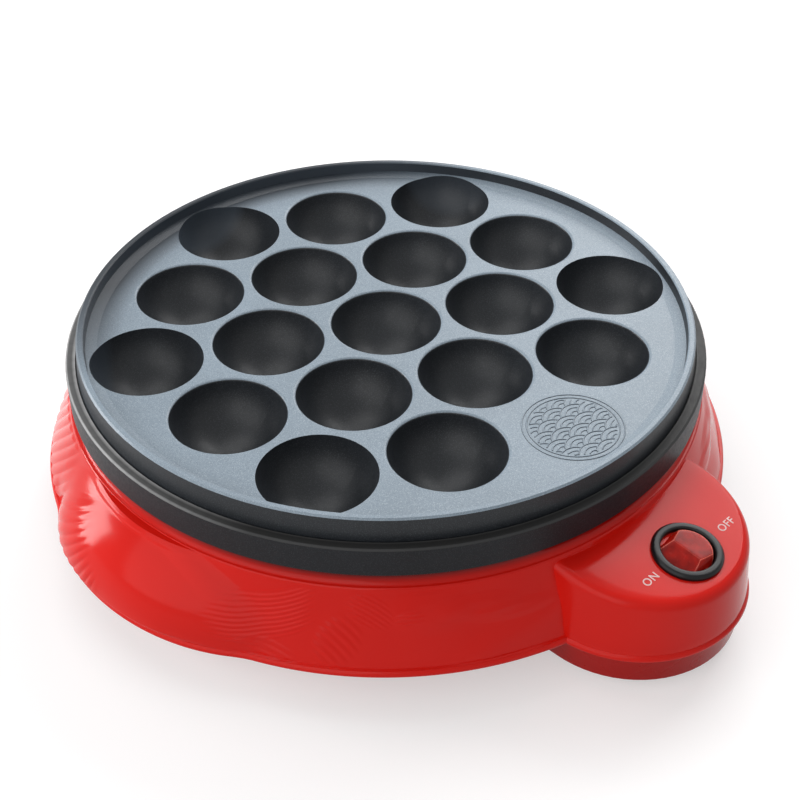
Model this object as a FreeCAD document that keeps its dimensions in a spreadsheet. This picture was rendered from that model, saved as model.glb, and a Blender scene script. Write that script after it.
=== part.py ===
import FreeCAD, Part

import math
import os
import re

import Sketcher

# Electric takoyaki maker: a cast cooking plate with eighteen round cups on a red plastic base that
# flares out, swells into a shell-shaped handle on each side, and carries a control box in front.
#
# Frame: millimetres, +Z up. The control box points along -Y, the side handles along -X and +X, the
# cord entry along +Y. The origin is the middle of the whole outline, on the plane of the rubber
# feet. Every piece is drawn about the cooking plate's axis, which lies plate_offset behind it.

Vec = FreeCAD.Vector

# ---------------------------------------------------------------- driving dimensions

SIZES = {
    # cooking plate
    "cup_pitch": 42.0,
    "cup_lip": 19.2,
    "cup_depth": 17.5,
    "cup_edge": 1.0,
    "plate_level": 63.0,
    "plate_wall": 2.2,
    "rim_height": 4.6,
    "rim_outer": 106.9,
    "rim_width": 2.1,
    "rim_lean": 0.7,
    "rim_edge": 0.6,
    "rim_inner_edge": 0.4,
    "cove_width": 3.8,
    "cove_rise": 0.8,
    "foot_width": 1.9,
    # skirt ring below the plate
    "ledge_drop": 3.65,
    "skirt_outer": 111.4,
    "skirt_wall": 2.2,
    "skirt_height": 11.0,
    "skirt_edge": 0.6,
    "shelf_drop": 1.75,
    "shelf_inner": 105.7,
    "shelf_thick": 1.7,
    "groove": 0.4,
    # casing
    "seat_gap": 0.3,
    "casing_wall": 2.5,
    "collar_outer": 109.4,
    "collar_height": 4.2,
    "deck_hole": 99.5,
    "lip_outer": 111.7,
    "hem_outer": 121.9,
    "seam_level": 16.0,
    "hem_height": 1.9,
    "hem_proud": 0.6,
    # shell-shaped side handles
    "shell_centre": 80.0,
    "shell_reach": 47.9,
    "shell_half_width": 64.4,
    "shell_rise": 39.0,
    # control box
    "nose_radius": 38.0,
    "box_back": 88.0,
    "box_top": 42.5,
    "box_top_from": 108.0,
    "box_slope": 7.9,
    "box_edge": 3.0,
    "box_draft": 5.5,
    # bottom cover
    "tub_outer": 109.5,
    "tub_nose": 37.4,
    "tub_level": 3.0,
    "tub_lean": 1.6,
    "tub_edge": 2.5,
    "floor_thick": 2.5,
    "flange_thick": 2.0,
    "flange_gap": 0.4,
    "cover_screw_circle": 115.0,
    "cover_boss": 4.0,
    "cover_screw": 1.5,
    "cover_head": 2.9,
    "cover_head_high": 2.0,
    "cover_screw_grip": 12.0,
    # rubber feet
    "foot_circle": 92.0,
    "foot_radius": 8.0,
    "foot_edge": 1.0,
    "foot_taper": 0.8,
    "foot_stem": 3.0,
    "foot_catch": 4.2,
    "foot_catch_high": 2.0,
    # plate bosses and their screws
    "boss_circle": 103.2,
    "boss_radius": 3.5,
    "plate_screw": 1.5,
    "plate_head": 3.0,
    "plate_head_high": 2.2,
    "plate_screw_grip": 9.0,
    "hole_gap": 0.05,
    "passage_gap": 0.3,
    # reflector pan
    "pan_sheet": 0.8,
    "pan_rim": 106.4,
    "pan_mouth": 98.6,
    "pan_floor_radius": 92.0,
    "pan_floor": 30.4,
    "pan_vent": 8.0,
    # heating element
    "coil_radius": 54.0,
    "tube_radius": 3.3,
    "tube_drop": 21.2,
    "cold_gap": 15.0,
    "bend_radius": 8.0,
    "leg_end": 26.0,
    "bush_wall": 1.7,
    "bush_flange": 1.6,
    "bush_high": 4.0,
    "bush_sheet": 1.2,
    "pin_radius": 1.4,
    "pin_length": 2.5,
    # clamps that hold the element to the plate
    "pad_inner": 50.0,
    "pad_outer": 68.5,
    "pad_width": 9.0,
    "clamp_width": 8.0,
    "clamp_sheet": 1.2,
    "clamp_gap": 0.3,
    "clamp_ear": 13.5,
    "clamp_hook": 3.0,
    "clamp_screw": 1.4,
    "clamp_head": 2.7,
    "clamp_head_high": 1.8,
    "clamp_screw_grip": 7.0,
    # thermostat and earth point on the plate's inner bosses
    "inner_boss": 4.0,
    "inner_boss_drop": 19.0,
    "thermo_radius": 8.0,
    "thermo_high": 6.5,
    "thermo_edge": 1.0,
    "thermo_flange": 2.5,
    "thermo_stud": 1.9,
    "thermo_stud_long": 7.0,
    "earth_radius": 4.5,
    "earth_sheet": 0.8,
    "earth_step": 2.0,
    "earth_screw": 1.9,
    "earth_head": 3.6,
    "earth_head_high": 2.4,
    "earth_screw_grip": 8.0,
    # terminals shared by the thermostat, the element, the switch and the block
    "blade_width": 6.3,
    "blade_thick": 0.8,
    "blade_length": 7.0,
    "socket_wall": 0.7,
    "socket_gap": 0.05,
    "socket_length": 8.0,
    "socket_back": 2.0,
    "slim_blade": 4.7,
    # switch, in its own frame: z up out of the sloping box top
    "switch_reach": 131.6,
    "switch_margin": 18.4,
    "switch_hole": 10.0,
    "barrel_outer": 9.9,
    "barrel_inner": 8.7,
    "barrel_deep": 17.0,
    "barrel_floor": 2.0,
    "bezel_outer": 11.6,
    "bezel_high": 1.8,
    "bezel_edge": 0.8,
    "catch_proud": 0.8,
    "catch_width": 5.0,
    "catch_high": 3.0,
    "rocker_radius": 8.45,
    "rocker_crest": 1.9,
    "rocker_end_radius": 10.0,
    "rocker_end_rise": 1.5,
    "rocker_wall": 1.2,
    "rocker_skirt": 4.5,
    "rocker_throw": 22.0,
    "pivot_drop": 1.5,
    "trunnion": 1.0,
    "trunnion_end": 9.3,
    "pivot_gap": 0.06,
    "plunger_radius": 1.3,
    "plunger_length": 6.2,
    "plunger_gap": 0.2,
    "guide_radius": 2.6,
    "guide_low": 5.0,
    "guide_top": 0.9,
    "spring_radius": 0.95,
    "spring_wire": 0.2,
    "spring_turns": 4.0,
    "lamp_radius": 1.5,
    "lamp_length": 6.0,
    "lamp_offset": 4.3,
    "lamp_drop": 0.45,
    "bridge_pivot": 12.1,
    "bridge_half": 5.6,
    "bridge_width": 4.0,
    "bridge_sheet": 0.7,
    "bridge_tilt": 5.5,
    "post_radius": 0.7,
    "post_gap": 0.05,
    "contact_radius": 1.2,
    "contact_thick": 0.5,
    "contact_reach": 4.4,
    "contact_gap": 0.15,
    "terminal_pitch": 6.0,
    # cord entry and terminal block
    "cord_level": 27.5,
    "cord_bore": 3.8,
    "entry_face": 121.5,
    "entry_depth": 9.5,
    "entry_wall": 3.2,
    "grommet_body": 6.1,
    "grommet_flange": 8.5,
    "grommet_catch": 7.2,
    "grommet_lip": 2.5,
    "grommet_edge": 0.8,
    "block_reach": 80.0,
    "block_length": 44.0,
    "block_depth": 16.0,
    "block_high": 13.0,
    "block_pitch": 10.5,
    "block_bore": 2.2,
    "block_bore_level": 7.0,
    "block_screw_out": 18.0,
    "sleeve_gap": 0.05,
    "sleeve_bore": 1.3,
    "sleeve_inset": 0.5,
    # inner leads
    "lead_radius": 1.2,
    "lead_lift": 0.3,
    "lead_bend": 4.0,
    "lead_grip": 4.0,
    "lead_rise": 10.0,
    "lead_away": 24.0,
    "lead_side": 18.0,
    "lead_inner": 12.0,
    "hump": 4.5,
    "vent_spread": 3.5,
    "vent_offset": 2.5,
    "inner_blade_level": 40.0,
    # thermal fuse
    "fuse_radius": 2.2,
    "fuse_length": 13.0,
    "fuse_clear": 8.0,
}

# Sizes that follow from the ones above.
DERIVED = {
    "cup_sphere": "(cup_lip ^ 2 + cup_depth ^ 2) / (2 * cup_depth)",
    "cup_centre": "plate_level + cup_sphere - cup_depth",
    "plate_under": "plate_level - plate_wall",
    "rim_foot": "rim_outer + rim_lean",
    "ledge_level": "plate_level - ledge_drop",
    "shelf_level": "ledge_level - shelf_drop",
    "skirt_bottom": "ledge_level - skirt_height",
    "deck_level": "skirt_bottom - seat_gap",
    "lip_level": "deck_level - collar_height",
    "deck_under": "deck_level - casing_wall",
    "wall_height": "lip_level - seam_level",
    "flare": "hem_outer - lip_outer",
    "floor_level": "tub_level + floor_thick",
    "coil_level": "plate_level - tube_drop",
    "pad_level": "coil_level + tube_radius + clamp_gap",
    "pan_top": "deck_under",
    "boss_tip": "plate_level - inner_boss_drop",
    "nose_centre": "switch_reach + switch_margin - nose_radius",
    "switch_level": "box_top - (switch_reach - box_top_from) * tan(box_slope * 1 deg)",
    "interstice": "cup_pitch / sqrt(3)",
    "clamp_circle": "cup_pitch * sqrt(7 / 3)",
    "clamp_turn": "atan(1 / (3 * sqrt(3))) / 1 deg",
    "cold_angle": "asin(cold_gap / coil_radius) / 1 deg",
    "bend_level": "coil_level - bend_radius",
    "bridge_top": "bridge_pivot - post_radius - post_gap - bridge_sheet",
    "plunger_reach": "bridge_top - pivot_drop - plunger_gap",
    "lead_level": "floor_level + lead_lift + lead_radius",
    "fuse_level": "floor_level + lead_lift + fuse_radius",
    "block_front": "block_reach - block_depth / 2",
    "block_axis": "floor_level + block_bore_level",
    "front_reach": "nose_centre + nose_radius + hem_proud",
    "back_reach": "entry_face + grommet_lip",
    "plate_offset": "(front_reach - back_reach) / 2",
}

HEX_RINGS = 2  # rings of cups around the middle one
BARE_CELL = (0, -2)  # the lattice place in front that holds the medallion instead of a cup
PLATE_BOSSES = (45, 135, 225, 315)  # degrees about Z
COVER_SCREWS = (0, 60, 120, 180, 240, 300)
FEET = (45, 135, 225, 315)
CLAMPS = (90, 210, 330)  # each turned on by clamp_turn, to the gap between three cups
SIDES = (0, 180)

doc = FreeCAD.newDocument("takoyaki_maker")
sheet = doc.addObject("Spreadsheet::Sheet", "sizes")
for row, (alias, number) in enumerate(SIZES.items(), 1):
    sheet.set(f"A{row}", alias)
    sheet.set(f"B{row}", str(number))
    sheet.setAlias(f"B{row}", alias)
doc.recompute()

NODES = {}


# ---------------------------------------------------------------- sizes and expressions


def formula(text):
    """An expression with each size's name led back to its cell in the sheet."""

    def spell(match):
        word = match.group(0)
        if word in SIZES:
            return "sizes." + word
        if word in DERIVED:
            return "(" + formula(DERIVED[word]) + ")"
        return word

    return re.sub(r"[a-z_]+", spell, str(text))


PROBE = doc.addObject("Part::Feature", "probe")


def value(text):
    """The number that an expression gives now."""
    answer = PROBE.evalExpression(formula(text))
    return float(getattr(answer, "Value", answer))


def bind(thing, **sizes):
    for name, text in sizes.items():
        thing.setExpression(name, formula(text))


def place(thing, at=(0, 0, 0), turn=0, about="z"):
    """Put a piece at a point, turned by an angle in degrees about one axis."""
    for letter, text in zip("xyz", at):
        thing.setExpression("Placement.Base." + letter, formula(text))
    for letter in "xyz":
        thing.setExpression("Placement.Rotation.Axis." + letter, "1" if letter == about else "0")
    thing.setExpression("Placement.Rotation.Angle", formula(turn))
    return thing


def around(radius, angle):
    """The x and y of a point at an angle in degrees on a circle about Z."""
    turn = f"({angle}) * 1 deg"
    return f"({radius}) * cos({turn})", f"({radius}) * sin({turn})"


# ---------------------------------------------------------------- solids


def cylinder(name, radius, height, at=(0, 0, 0), turn=0, about="z"):
    thing = doc.addObject("Part::Cylinder", name)
    bind(thing, Radius=radius, Height=height)
    return place(thing, at, turn, about)


def cone(name, low, high, height, at=(0, 0, 0)):
    thing = doc.addObject("Part::Cone", name)
    bind(thing, Radius1=low, Radius2=high, Height=height)
    return place(thing, at)


def ball(name, radius, at):
    thing = doc.addObject("Part::Sphere", name)
    bind(thing, Radius=radius)
    return place(thing, at)


def along_y(name, radius, start, length, x="0", level="cord_level"):
    """A cylinder that lies along +Y from y = start."""
    return cylinder(name, radius, length, (x, start, level), turn=-90, about="x")


def block(name, size, at, turn=0, about="z"):
    """A box of the given size with its low corner at a point."""
    thing = doc.addObject("Part::Box", name)
    bind(thing, Length=size[0], Width=size[1], Height=size[2])
    return place(thing, at, turn, about)


def fuse(name, *pieces):
    thing = doc.addObject("Part::MultiFuse", name)
    thing.Shapes = list(pieces)
    thing.Refine = False
    return thing


def fuse_in_turn(name, first, *others):
    """The same union, built up one piece at a time."""
    for number, other in enumerate(others, 1):
        label = name if number == len(others) else f"{name}_{number}"
        first = fuse(label, first, other)
    return first


def both(name, one, other):
    thing = doc.addObject("Part::Common", name)
    thing.Base, thing.Tool = one, other
    thing.Refine = False
    return thing


def cut(name, base, *tools):
    tool = tools[0] if len(tools) == 1 else fuse(name + "_tools", *tools)
    thing = doc.addObject("Part::Cut", name)
    thing.Base, thing.Tool = base, tool
    thing.Refine = False
    return thing


def group(name, *pieces):
    """Separate solids that share one node."""
    thing = doc.addObject("Part::Compound", name)
    thing.Links = list(pieces)
    return thing


def outline(body, plane, loops, lift="0"):
    """A sketch on one of the body's own planes. A loop is a list of points or (x, y, radius)."""
    role = {"xy": "XY_Plane", "xz": "XZ_Plane", "yz": "YZ_Plane"}[plane]
    origin = [feature for feature in body.Origin.OriginFeatures if feature.Role == role][0]
    sketch = body.newObject("Sketcher::SketchObject", body.Name + "_sketch")
    sketch.AttachmentSupport = (origin, [""])
    sketch.MapMode = "FlatFace"
    sketch.setExpression("AttachmentOffset.Base.z", formula(lift))
    for loop in loops:
        draw(sketch, loop)
    return sketch


def pin_point(sketch, edge, end, x, y):
    """Tie one end (or centre) of an edge to a point given by two expressions."""
    for kind, text in (("DistanceX", x), ("DistanceY", y)):
        index = sketch.addConstraint(Sketcher.Constraint(kind, -1, 1, edge, end, value(text)))
        sketch.setExpression(f"Constraints[{index}]", formula(text))


def draw(sketch, loop):
    if isinstance(loop, tuple):
        x, y, radius = loop
        centre = Vec(value(x), value(y), 0)
        edge = sketch.addGeometry(Part.Circle(centre, Vec(0, 0, 1), value(radius)), False)
        pin_point(sketch, edge, 3, x, y)
        index = sketch.addConstraint(Sketcher.Constraint("Radius", edge, value(radius)))
        sketch.setExpression(f"Constraints[{index}]", formula(radius))
        return
    corners = [Vec(value(x), value(y), 0) for x, y in loop]
    first = sketch.GeometryCount
    for here, there in zip(corners, corners[1:] + corners[:1]):
        sketch.addGeometry(Part.LineSegment(here, there), False)
    for step, (x, y) in enumerate(loop):
        before = first + (step - 1) % len(loop)
        sketch.addConstraint(Sketcher.Constraint("Coincident", before, 2, first + step, 1))
        pin_point(sketch, first + step, 1, x, y)


def turned(name, profile):
    """A solid of revolution about Z from a list of (radius, height) points."""
    body = doc.addObject("PartDesign::Body", name)
    sketch = outline(body, "xz", [profile])
    feature = body.newObject("PartDesign::Revolution", name + "_turn")
    feature.Profile = sketch
    feature.ReferenceAxis = (sketch, ["V_Axis"])
    feature.Angle = 360
    return body


def extruded(name, plane, loops, length, lift="0", centred=False):
    """A prism on one of the three planes, from the plane or centred on it."""
    body = doc.addObject("PartDesign::Body", name)
    sketch = outline(body, plane, loops, lift)
    feature = body.newObject("PartDesign::Pad", name + "_pad")
    feature.Profile = sketch
    bind(feature, Length=length)
    feature.Midplane = centred
    return body


def rounded(name, base, radius, chosen):
    """A fillet on the edges of a solid for which chosen(edge) holds."""
    doc.recompute()
    size = value(radius)
    edges = [
        (number, size, size) for number, edge in enumerate(base.Shape.Edges, 1) if chosen(edge)
    ]
    thing = doc.addObject("Part::Fillet", name)
    thing.Base = base
    thing.Edges = edges
    return thing


def node(thing, name):
    """Register a finished sub-part, moved from the plate's axis into the part's frame."""
    thing.Label = name + "_on_axis"
    moved = place(group(name + "_moved", thing), ("0", "plate_offset", "0"))
    moved.Label = name
    NODES[name] = moved


# ---------------------------------------------------------------- cooking plate


def cup_places():
    """Hexagonal lattice of cup centres, as pairs of expressions, without the bare cell."""
    span = range(-HEX_RINGS, HEX_RINGS + 1)
    for i in span:
        for j in span:
            if abs(i + j) <= HEX_RINGS and (i, j) != BARE_CELL:
                yield f"cup_pitch * {i} * cos(30 deg)", f"cup_pitch * {i / 2 + j}"


def screw_pad(angle):
    """Cast pad under the plate on which the element's clamp is screwed."""
    turn = f"({angle} + clamp_turn)"
    x, y = around("pad_inner", turn)
    corner = (
        f"{x} - pad_width / 2 * cos(({turn} + 90) * 1 deg)",
        f"{y} - pad_width / 2 * sin(({turn} + 90) * 1 deg)",
        "pad_level",
    )
    size = ("pad_outer - pad_inner", "pad_width", "plate_under - pad_level + plate_wall / 2")
    return block(f"pad_{angle}", size, corner, turn=turn)


def cooking_plate():
    disc = turned(
        "plate_disc",
        [
            ("0", "plate_under"),
            ("rim_foot - foot_width", "plate_under"),
            ("rim_foot - foot_width", "shelf_level"),
            ("rim_foot", "shelf_level"),
            ("rim_foot", "ledge_level"),
            ("rim_outer", "plate_level + rim_height - rim_edge"),
            ("rim_outer - rim_edge", "plate_level + rim_height"),
            ("rim_outer - rim_width", "plate_level + rim_height"),
            ("rim_outer - rim_width - rim_inner_edge", "plate_level + rim_height - rim_inner_edge"),
            ("rim_outer - rim_width - 2 * rim_inner_edge", "plate_level + cove_rise"),
            ("rim_outer - rim_width - 2 * rim_inner_edge - cove_width", "plate_level"),
            ("0", "plate_level"),
        ],
    )
    below = block(
        "plate_below",
        ("2 * rim_outer", "2 * rim_outer", "plate_level"),
        ("-rim_outer", "-rim_outer", "-plate_wall / 2"),
    )
    outer = [
        ball(f"cup_outside_{number}", "cup_sphere + plate_wall", (x, y, "cup_centre"))
        for number, (x, y) in enumerate(cup_places())
    ]
    bowls = both("cup_bowls", fuse("cup_outsides", *outer), below)
    bosses = []
    for angle in PLATE_BOSSES:
        x, y = around("boss_circle", angle)
        tall = "plate_under - deck_level + plate_wall / 2"
        bosses.append(cylinder(f"plate_boss_{angle}", "boss_radius", tall, (x, y, "deck_level")))
    for side in SIDES:
        x, y = around("interstice", side)
        tall = "plate_under - boss_tip + plate_wall / 2"
        bosses.append(cylinder(f"inner_boss_{side}", "inner_boss", tall, (x, y, "boss_tip")))
    pads = [screw_pad(angle) for angle in CLAMPS]
    rough = fuse("plate_rough", disc, bowls)
    cast = fuse("plate_cast", fuse("plate_bossed", rough, *bosses), *pads)

    hollows = [
        ball(f"cup_inside_{number}", "cup_sphere", (x, y, "cup_centre"))
        for number, (x, y) in enumerate(cup_places())
    ]
    for angle in PLATE_BOSSES:
        x, y = around("boss_circle", angle)
        deep = "plate_screw_grip - casing_wall - pan_sheet + 1"
        hollows.append(
            cylinder(f"plate_hole_{angle}", "plate_screw + hole_gap", deep, (x, y, "deck_level"))
        )
    for angle in CLAMPS:
        x, y = around("clamp_circle", f"{angle} + clamp_turn")
        deep = "clamp_screw_grip - clamp_sheet + 0.5"
        hollows.append(
            cylinder(f"clamp_hole_{angle}", "clamp_screw + hole_gap", deep, (x, y, "pad_level"))
        )
    for side, radius, deep in (
        (SIDES[0], "earth_screw", "earth_screw_grip - earth_sheet"),
        (SIDES[1], "thermo_stud", "thermo_stud_long"),
    ):
        x, y = around("interstice", side)
        hollows.append(
            cylinder(f"inner_hole_{side}", radius + " + hole_gap", deep + " + 0.5", (x, y, "boss_tip"))
        )
    bored = cut("plate_bored", cast, *hollows)
    level = value("plate_level")
    lip = value("2 * pi * cup_lip")

    def is_cup_lip(edge):
        box = edge.BoundBox
        return abs(box.ZMin - level) < 0.01 and box.ZLength < 0.01 and abs(edge.Length / lip - 1) < 0.01

    node(rounded("cooking_plate", bored, "cup_edge", is_cup_lip), "cooking_plate")


def skirt_ring():
    """Dark ring under the plate: a ledge, a shelf the plate stands on, and the skirt."""
    ring = turned(
        "skirt_body",
        [
            ("skirt_outer - skirt_wall", "skirt_bottom"),
            ("skirt_outer - skirt_edge", "skirt_bottom"),
            ("skirt_outer", "skirt_bottom + skirt_edge"),
            ("skirt_outer", "ledge_level - skirt_edge"),
            ("skirt_outer - skirt_edge", "ledge_level"),
            ("rim_foot + groove", "ledge_level"),
            ("rim_foot + groove", "shelf_level"),
            ("shelf_inner", "shelf_level"),
            ("shelf_inner", "shelf_level - shelf_thick"),
            ("skirt_outer - skirt_wall", "shelf_level - shelf_thick"),
        ],
    )
    notches = []
    for angle in PLATE_BOSSES:
        x, y = around("boss_circle", angle)
        at = (x, y, "shelf_level - 2 * shelf_thick")
        notches.append(cylinder(f"notch_{angle}", "boss_radius + passage_gap", "4 * shelf_thick", at))
    node(cut("skirt_ring", ring, *notches), "skirt_ring")


# ---------------------------------------------------------------- casing


def flared(name, inset, low):
    """The round body's solid, inset from the outside on every wall, from a level up."""
    slant = "flare / wall_height"
    return turned(
        name,
        [
            ("0", low),
            (f"hem_outer - {inset} - ({low} - seam_level) * {slant}", low),
            (f"lip_outer - {inset} + {inset} * {slant}", f"lip_level - {inset}"),
            (f"collar_outer - {inset}", f"lip_level - {inset}"),
            (f"collar_outer - {inset}", f"deck_level - {inset}"),
            ("0", f"deck_level - {inset}"),
        ],
    )


def shell_dome(name, side, grow, low, high):
    """One side handle's dome: a slice, from low to high, of an ellipsoid."""
    dome = doc.addObject("Part::Ellipsoid", name + "_whole")
    bind(dome, Radius1=f"shell_rise + {grow}", Radius2=f"shell_reach + {grow}")
    bind(dome, Radius3=f"shell_half_width + {grow}", Angle1="-90", Angle2="90", Angle3="360")
    x, y = around("shell_centre", side)
    place(dome, (x, y, "seam_level"), turn=side)
    width = f"2 * (shell_half_width + {grow})"
    start = "lip_outer * 0.8"
    keep_x = start if side == 0 else f"-({start}) - (shell_reach + {grow})"
    size = (f"shell_reach + {grow}", width, f"({high}) - ({low})")
    keep = block(name + "_slice", size, (keep_x, f"-({width}) / 2", low))
    return both(name, dome, keep)


def box_form(name, inset, low):
    """Control box as a solid: drafted nose and sides under a top that slopes to the front."""
    high = "box_top + nose_radius * tan(box_slope * 1 deg)"
    tall = f"({high}) - ({low})"
    lean = f"({tall}) * tan(box_draft * 1 deg)"
    nose = cone(
        name + "_nose",
        f"nose_radius - {inset}",
        f"nose_radius - {inset} - {lean}",
        tall,
        ("0", "-nose_centre", low),
    )
    flanks = extruded(
        name + "_flanks",
        "xz",
        [
            [
                (f"-(nose_radius - {inset})", low),
                (f"nose_radius - {inset}", low),
                (f"nose_radius - {inset} - {lean}", high),
                (f"-(nose_radius - {inset} - {lean})", high),
            ]
        ],
        "nose_centre - box_back",
        lift="box_back",
    )
    front = "-(nose_centre + 2 * nose_radius)"
    reach = "nose_centre + 2 * nose_radius - box_top_from"
    top_off = extruded(
        name + "_top",
        "yz",
        [
            [
                (front, f"box_top - {inset} - ({reach}) * tan(box_slope * 1 deg)"),
                ("0", f"box_top - {inset} + box_top_from * tan(box_slope * 1 deg)"),
                ("0", f"{high} + 2 * nose_radius"),
                (front, f"{high} + 2 * nose_radius"),
            ]
        ],
        "4 * nose_radius",
        centred=True,
    )
    return cut(name, fuse(name + "_plan", nose, flanks), top_off)


def box_hem(name, grow, low, high):
    """A slice of the control box's plan, grown outwards, from low to high."""
    tall = f"({high}) - ({low})"
    nose = cylinder(name + "_nose", f"nose_radius + {grow}", tall, ("0", "-nose_centre", low))
    flanks = block(
        name + "_flanks",
        (f"2 * (nose_radius + {grow})", "nose_centre - box_back", tall),
        (f"-(nose_radius + {grow})", "-nose_centre", low),
    )
    return fuse(name, nose, flanks)


def on_box_top(thing):
    """Put a piece made in the switch's own frame on the sloping box top."""
    return place(thing, ("0", "-switch_reach", "switch_level"), turn="box_slope", about="x")


def upper_casing():
    sharp = box_form("box_outside", "0", "seam_level")
    slope_top = value("box_top + nose_radius")
    half_way = value("(seam_level + box_top) / 2")
    half_height = value("(box_top - seam_level) / 2")
    back = -value("box_back")
    shortest = value("nose_radius / 8")

    def is_top_edge(edge):
        box = edge.BoundBox
        on_top = half_way < box.ZMin and box.ZMax < slope_top and box.ZLength < half_height
        return on_top and box.YMin < back and box.XLength + box.YLength > shortest

    box_outside = rounded("box_rounded", sharp, "box_edge", is_top_edge)
    body = flared("body_outside", "0", "seam_level")
    hem = cylinder("body_hem", "hem_outer + hem_proud", "hem_height", ("0", "0", "seam_level"))
    hem_top = "seam_level + hem_height"
    domes = [shell_dome(f"shell_{side}", side, "0", "seam_level", "lip_level") for side in SIDES]
    dome_hems = [
        shell_dome(f"shell_hem_{side}", side, "hem_proud", "seam_level", hem_top) for side in SIDES
    ]
    nose_hem = box_hem("box_hem", "hem_proud", "seam_level", hem_top)
    turret = "grommet_body + entry_wall"
    inner_face = "entry_face - entry_depth"
    entry = along_y("entry_outside", turret, inner_face, "entry_depth")
    walls = fuse("casing_walls", body, box_outside, *domes)
    outside = fuse_in_turn("casing_outside", walls, hem, *dome_hems, nose_hem, entry)

    body_hollow = flared("body_hollow", "casing_wall", "seam_level - 1")
    dome_hollows = [
        shell_dome(f"shell_hollow_{side}", side, "-casing_wall", "seam_level - 1", "lip_level")
        for side in SIDES
    ]
    box_hollow = box_form("box_hollow", "casing_wall", "seam_level - 1")
    hollow = fuse("casing_hollow", body_hollow, *dome_hollows, box_hollow)
    columns = [along_y("entry_inside", turret, inner_face, "2 * entry_depth")]
    pilots = []
    for angle in COVER_SCREWS:
        x, y = around("cover_screw_circle", angle)
        foot = "seam_level + flange_thick"
        columns.append(cylinder(f"column_{angle}", "cover_boss", "wall_height", (x, y, foot)))
        pilot = ("cover_screw + hole_gap", "cover_screw_grip + 1")
        pilots.append(cylinder(f"pilot_{angle}", *pilot, (x, y, "seam_level")))
    open_space = cut("casing_space", hollow, *columns)
    low = "lip_level - collar_height"
    deck_opening = cylinder("deck_opening", "deck_hole", "3 * collar_height", ("0", "0", low))
    low = "-3 * casing_wall"
    switch_bore = cylinder("switch_bore", "switch_hole", "6 * casing_wall", ("0", "0", low))
    switch_cutout = on_box_top(group("switch_cutout", switch_bore))
    cord_hole = along_y("cord_hole", "grommet_body + hole_gap", "deck_hole", "3 * nose_radius")
    screw_holes = []
    for angle in PLATE_BOSSES:
        x, y = around("boss_circle", angle)
        hole = ("plate_screw + passage_gap", "casing_wall + 2", (x, y, "deck_under - 1"))
        screw_holes.append(cylinder(f"deck_hole_{angle}", *hole))
    openings = [deck_opening, switch_cutout, cord_hole, *screw_holes, *pilots]
    node(cut("upper_casing", outside, open_space, *openings), "upper_casing")


def bottom_cover():
    """Tub that closes the casing: a flange inside the hem, then a tapered tray."""

    def tub(name, inset, low, low_drop, high, high_drop):
        """A slice of the tray, drawn in by a drop at its lower and at its upper level."""
        height = f"({high}) - ({low})"
        at = f"- {inset} - ({low_drop})", f"- {inset} - ({high_drop})"
        main = cone(
            name + "_main", f"tub_outer {at[0]}", f"tub_outer {at[1]}", height, ("0", "0", low)
        )
        centre = ("0", "-nose_centre", low)
        nose = cone(name + "_nose", f"tub_nose {at[0]}", f"tub_nose {at[1]}", height, centre)
        section = [
            (f"-(tub_nose {at[0]})", low),
            (f"tub_nose {at[0]}", low),
            (f"tub_nose {at[1]}", high),
            (f"-(tub_nose {at[1]})", high),
        ]
        length = "nose_centre - box_back"
        flanks = extruded(name + "_flanks", "xz", [section], length, lift="box_back")
        return fuse(name, main, nose, flanks)

    bend = "tub_level + tub_edge"
    bend_drop = "tub_lean * (seam_level - tub_level - tub_edge) / (seam_level - tub_level)"
    outside = fuse(
        "tub_outside",
        tub("tub_upper", "0", bend, bend_drop, "seam_level", "0"),
        tub("tub_lower", "0", "tub_level", f"{bend_drop} + tub_edge", bend, bend_drop),
    )
    top = "seam_level + flange_thick"
    inset = "(casing_wall + flange_gap)"
    round_part = f"hem_outer - {inset} - flange_thick * flare / wall_height"
    disc = cylinder("flange_disc", round_part, "flange_thick", ("0", "0", "seam_level"))
    domes = [
        shell_dome(f"flange_shell_{side}", side, f"-({inset})", "seam_level", top) for side in SIDES
    ]
    nose = box_hem("flange_nose", f"-({inset})", "seam_level", top)
    solid = fuse("cover_solid", outside, disc, *domes, nose)
    hollow = tub("tub_hollow", "floor_thick", "floor_level", "tub_lean", "seam_level", "0")
    rise = "seam_level + flange_thick + 1"
    well = fuse(
        "cover_well",
        cylinder("well_main", "tub_outer - floor_thick", "flange_thick + 1", ("0", "0", "seam_level")),
        box_hem("well_nose", "tub_nose - floor_thick - nose_radius", "seam_level", rise),
    )
    holes = []
    for angle in COVER_SCREWS:
        x, y = around("cover_screw_circle", angle)
        hole = ("cover_screw + passage_gap", "4 * flange_thick", (x, y, "seam_level - 2 * flange_thick"))
        holes.append(cylinder(f"cover_hole_{angle}", *hole))
    for angle in FEET:
        x, y = around("foot_circle", angle)
        at = (x, y, "tub_level - 1")
        holes.append(cylinder(f"foot_hole_{angle}", "foot_stem + hole_gap", "floor_thick + 2", at))
    for word, sign in (("left", "-"), ("right", "")):
        at = (f"{sign}block_screw_out", "block_reach", "floor_level - 0.9 * floor_thick")
        holes.append(cylinder(f"block_pilot_{word}", "cover_screw + hole_gap", "2 * floor_thick", at))
    node(cut("bottom_cover", solid, hollow, well, *holes), "bottom_cover")


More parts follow.
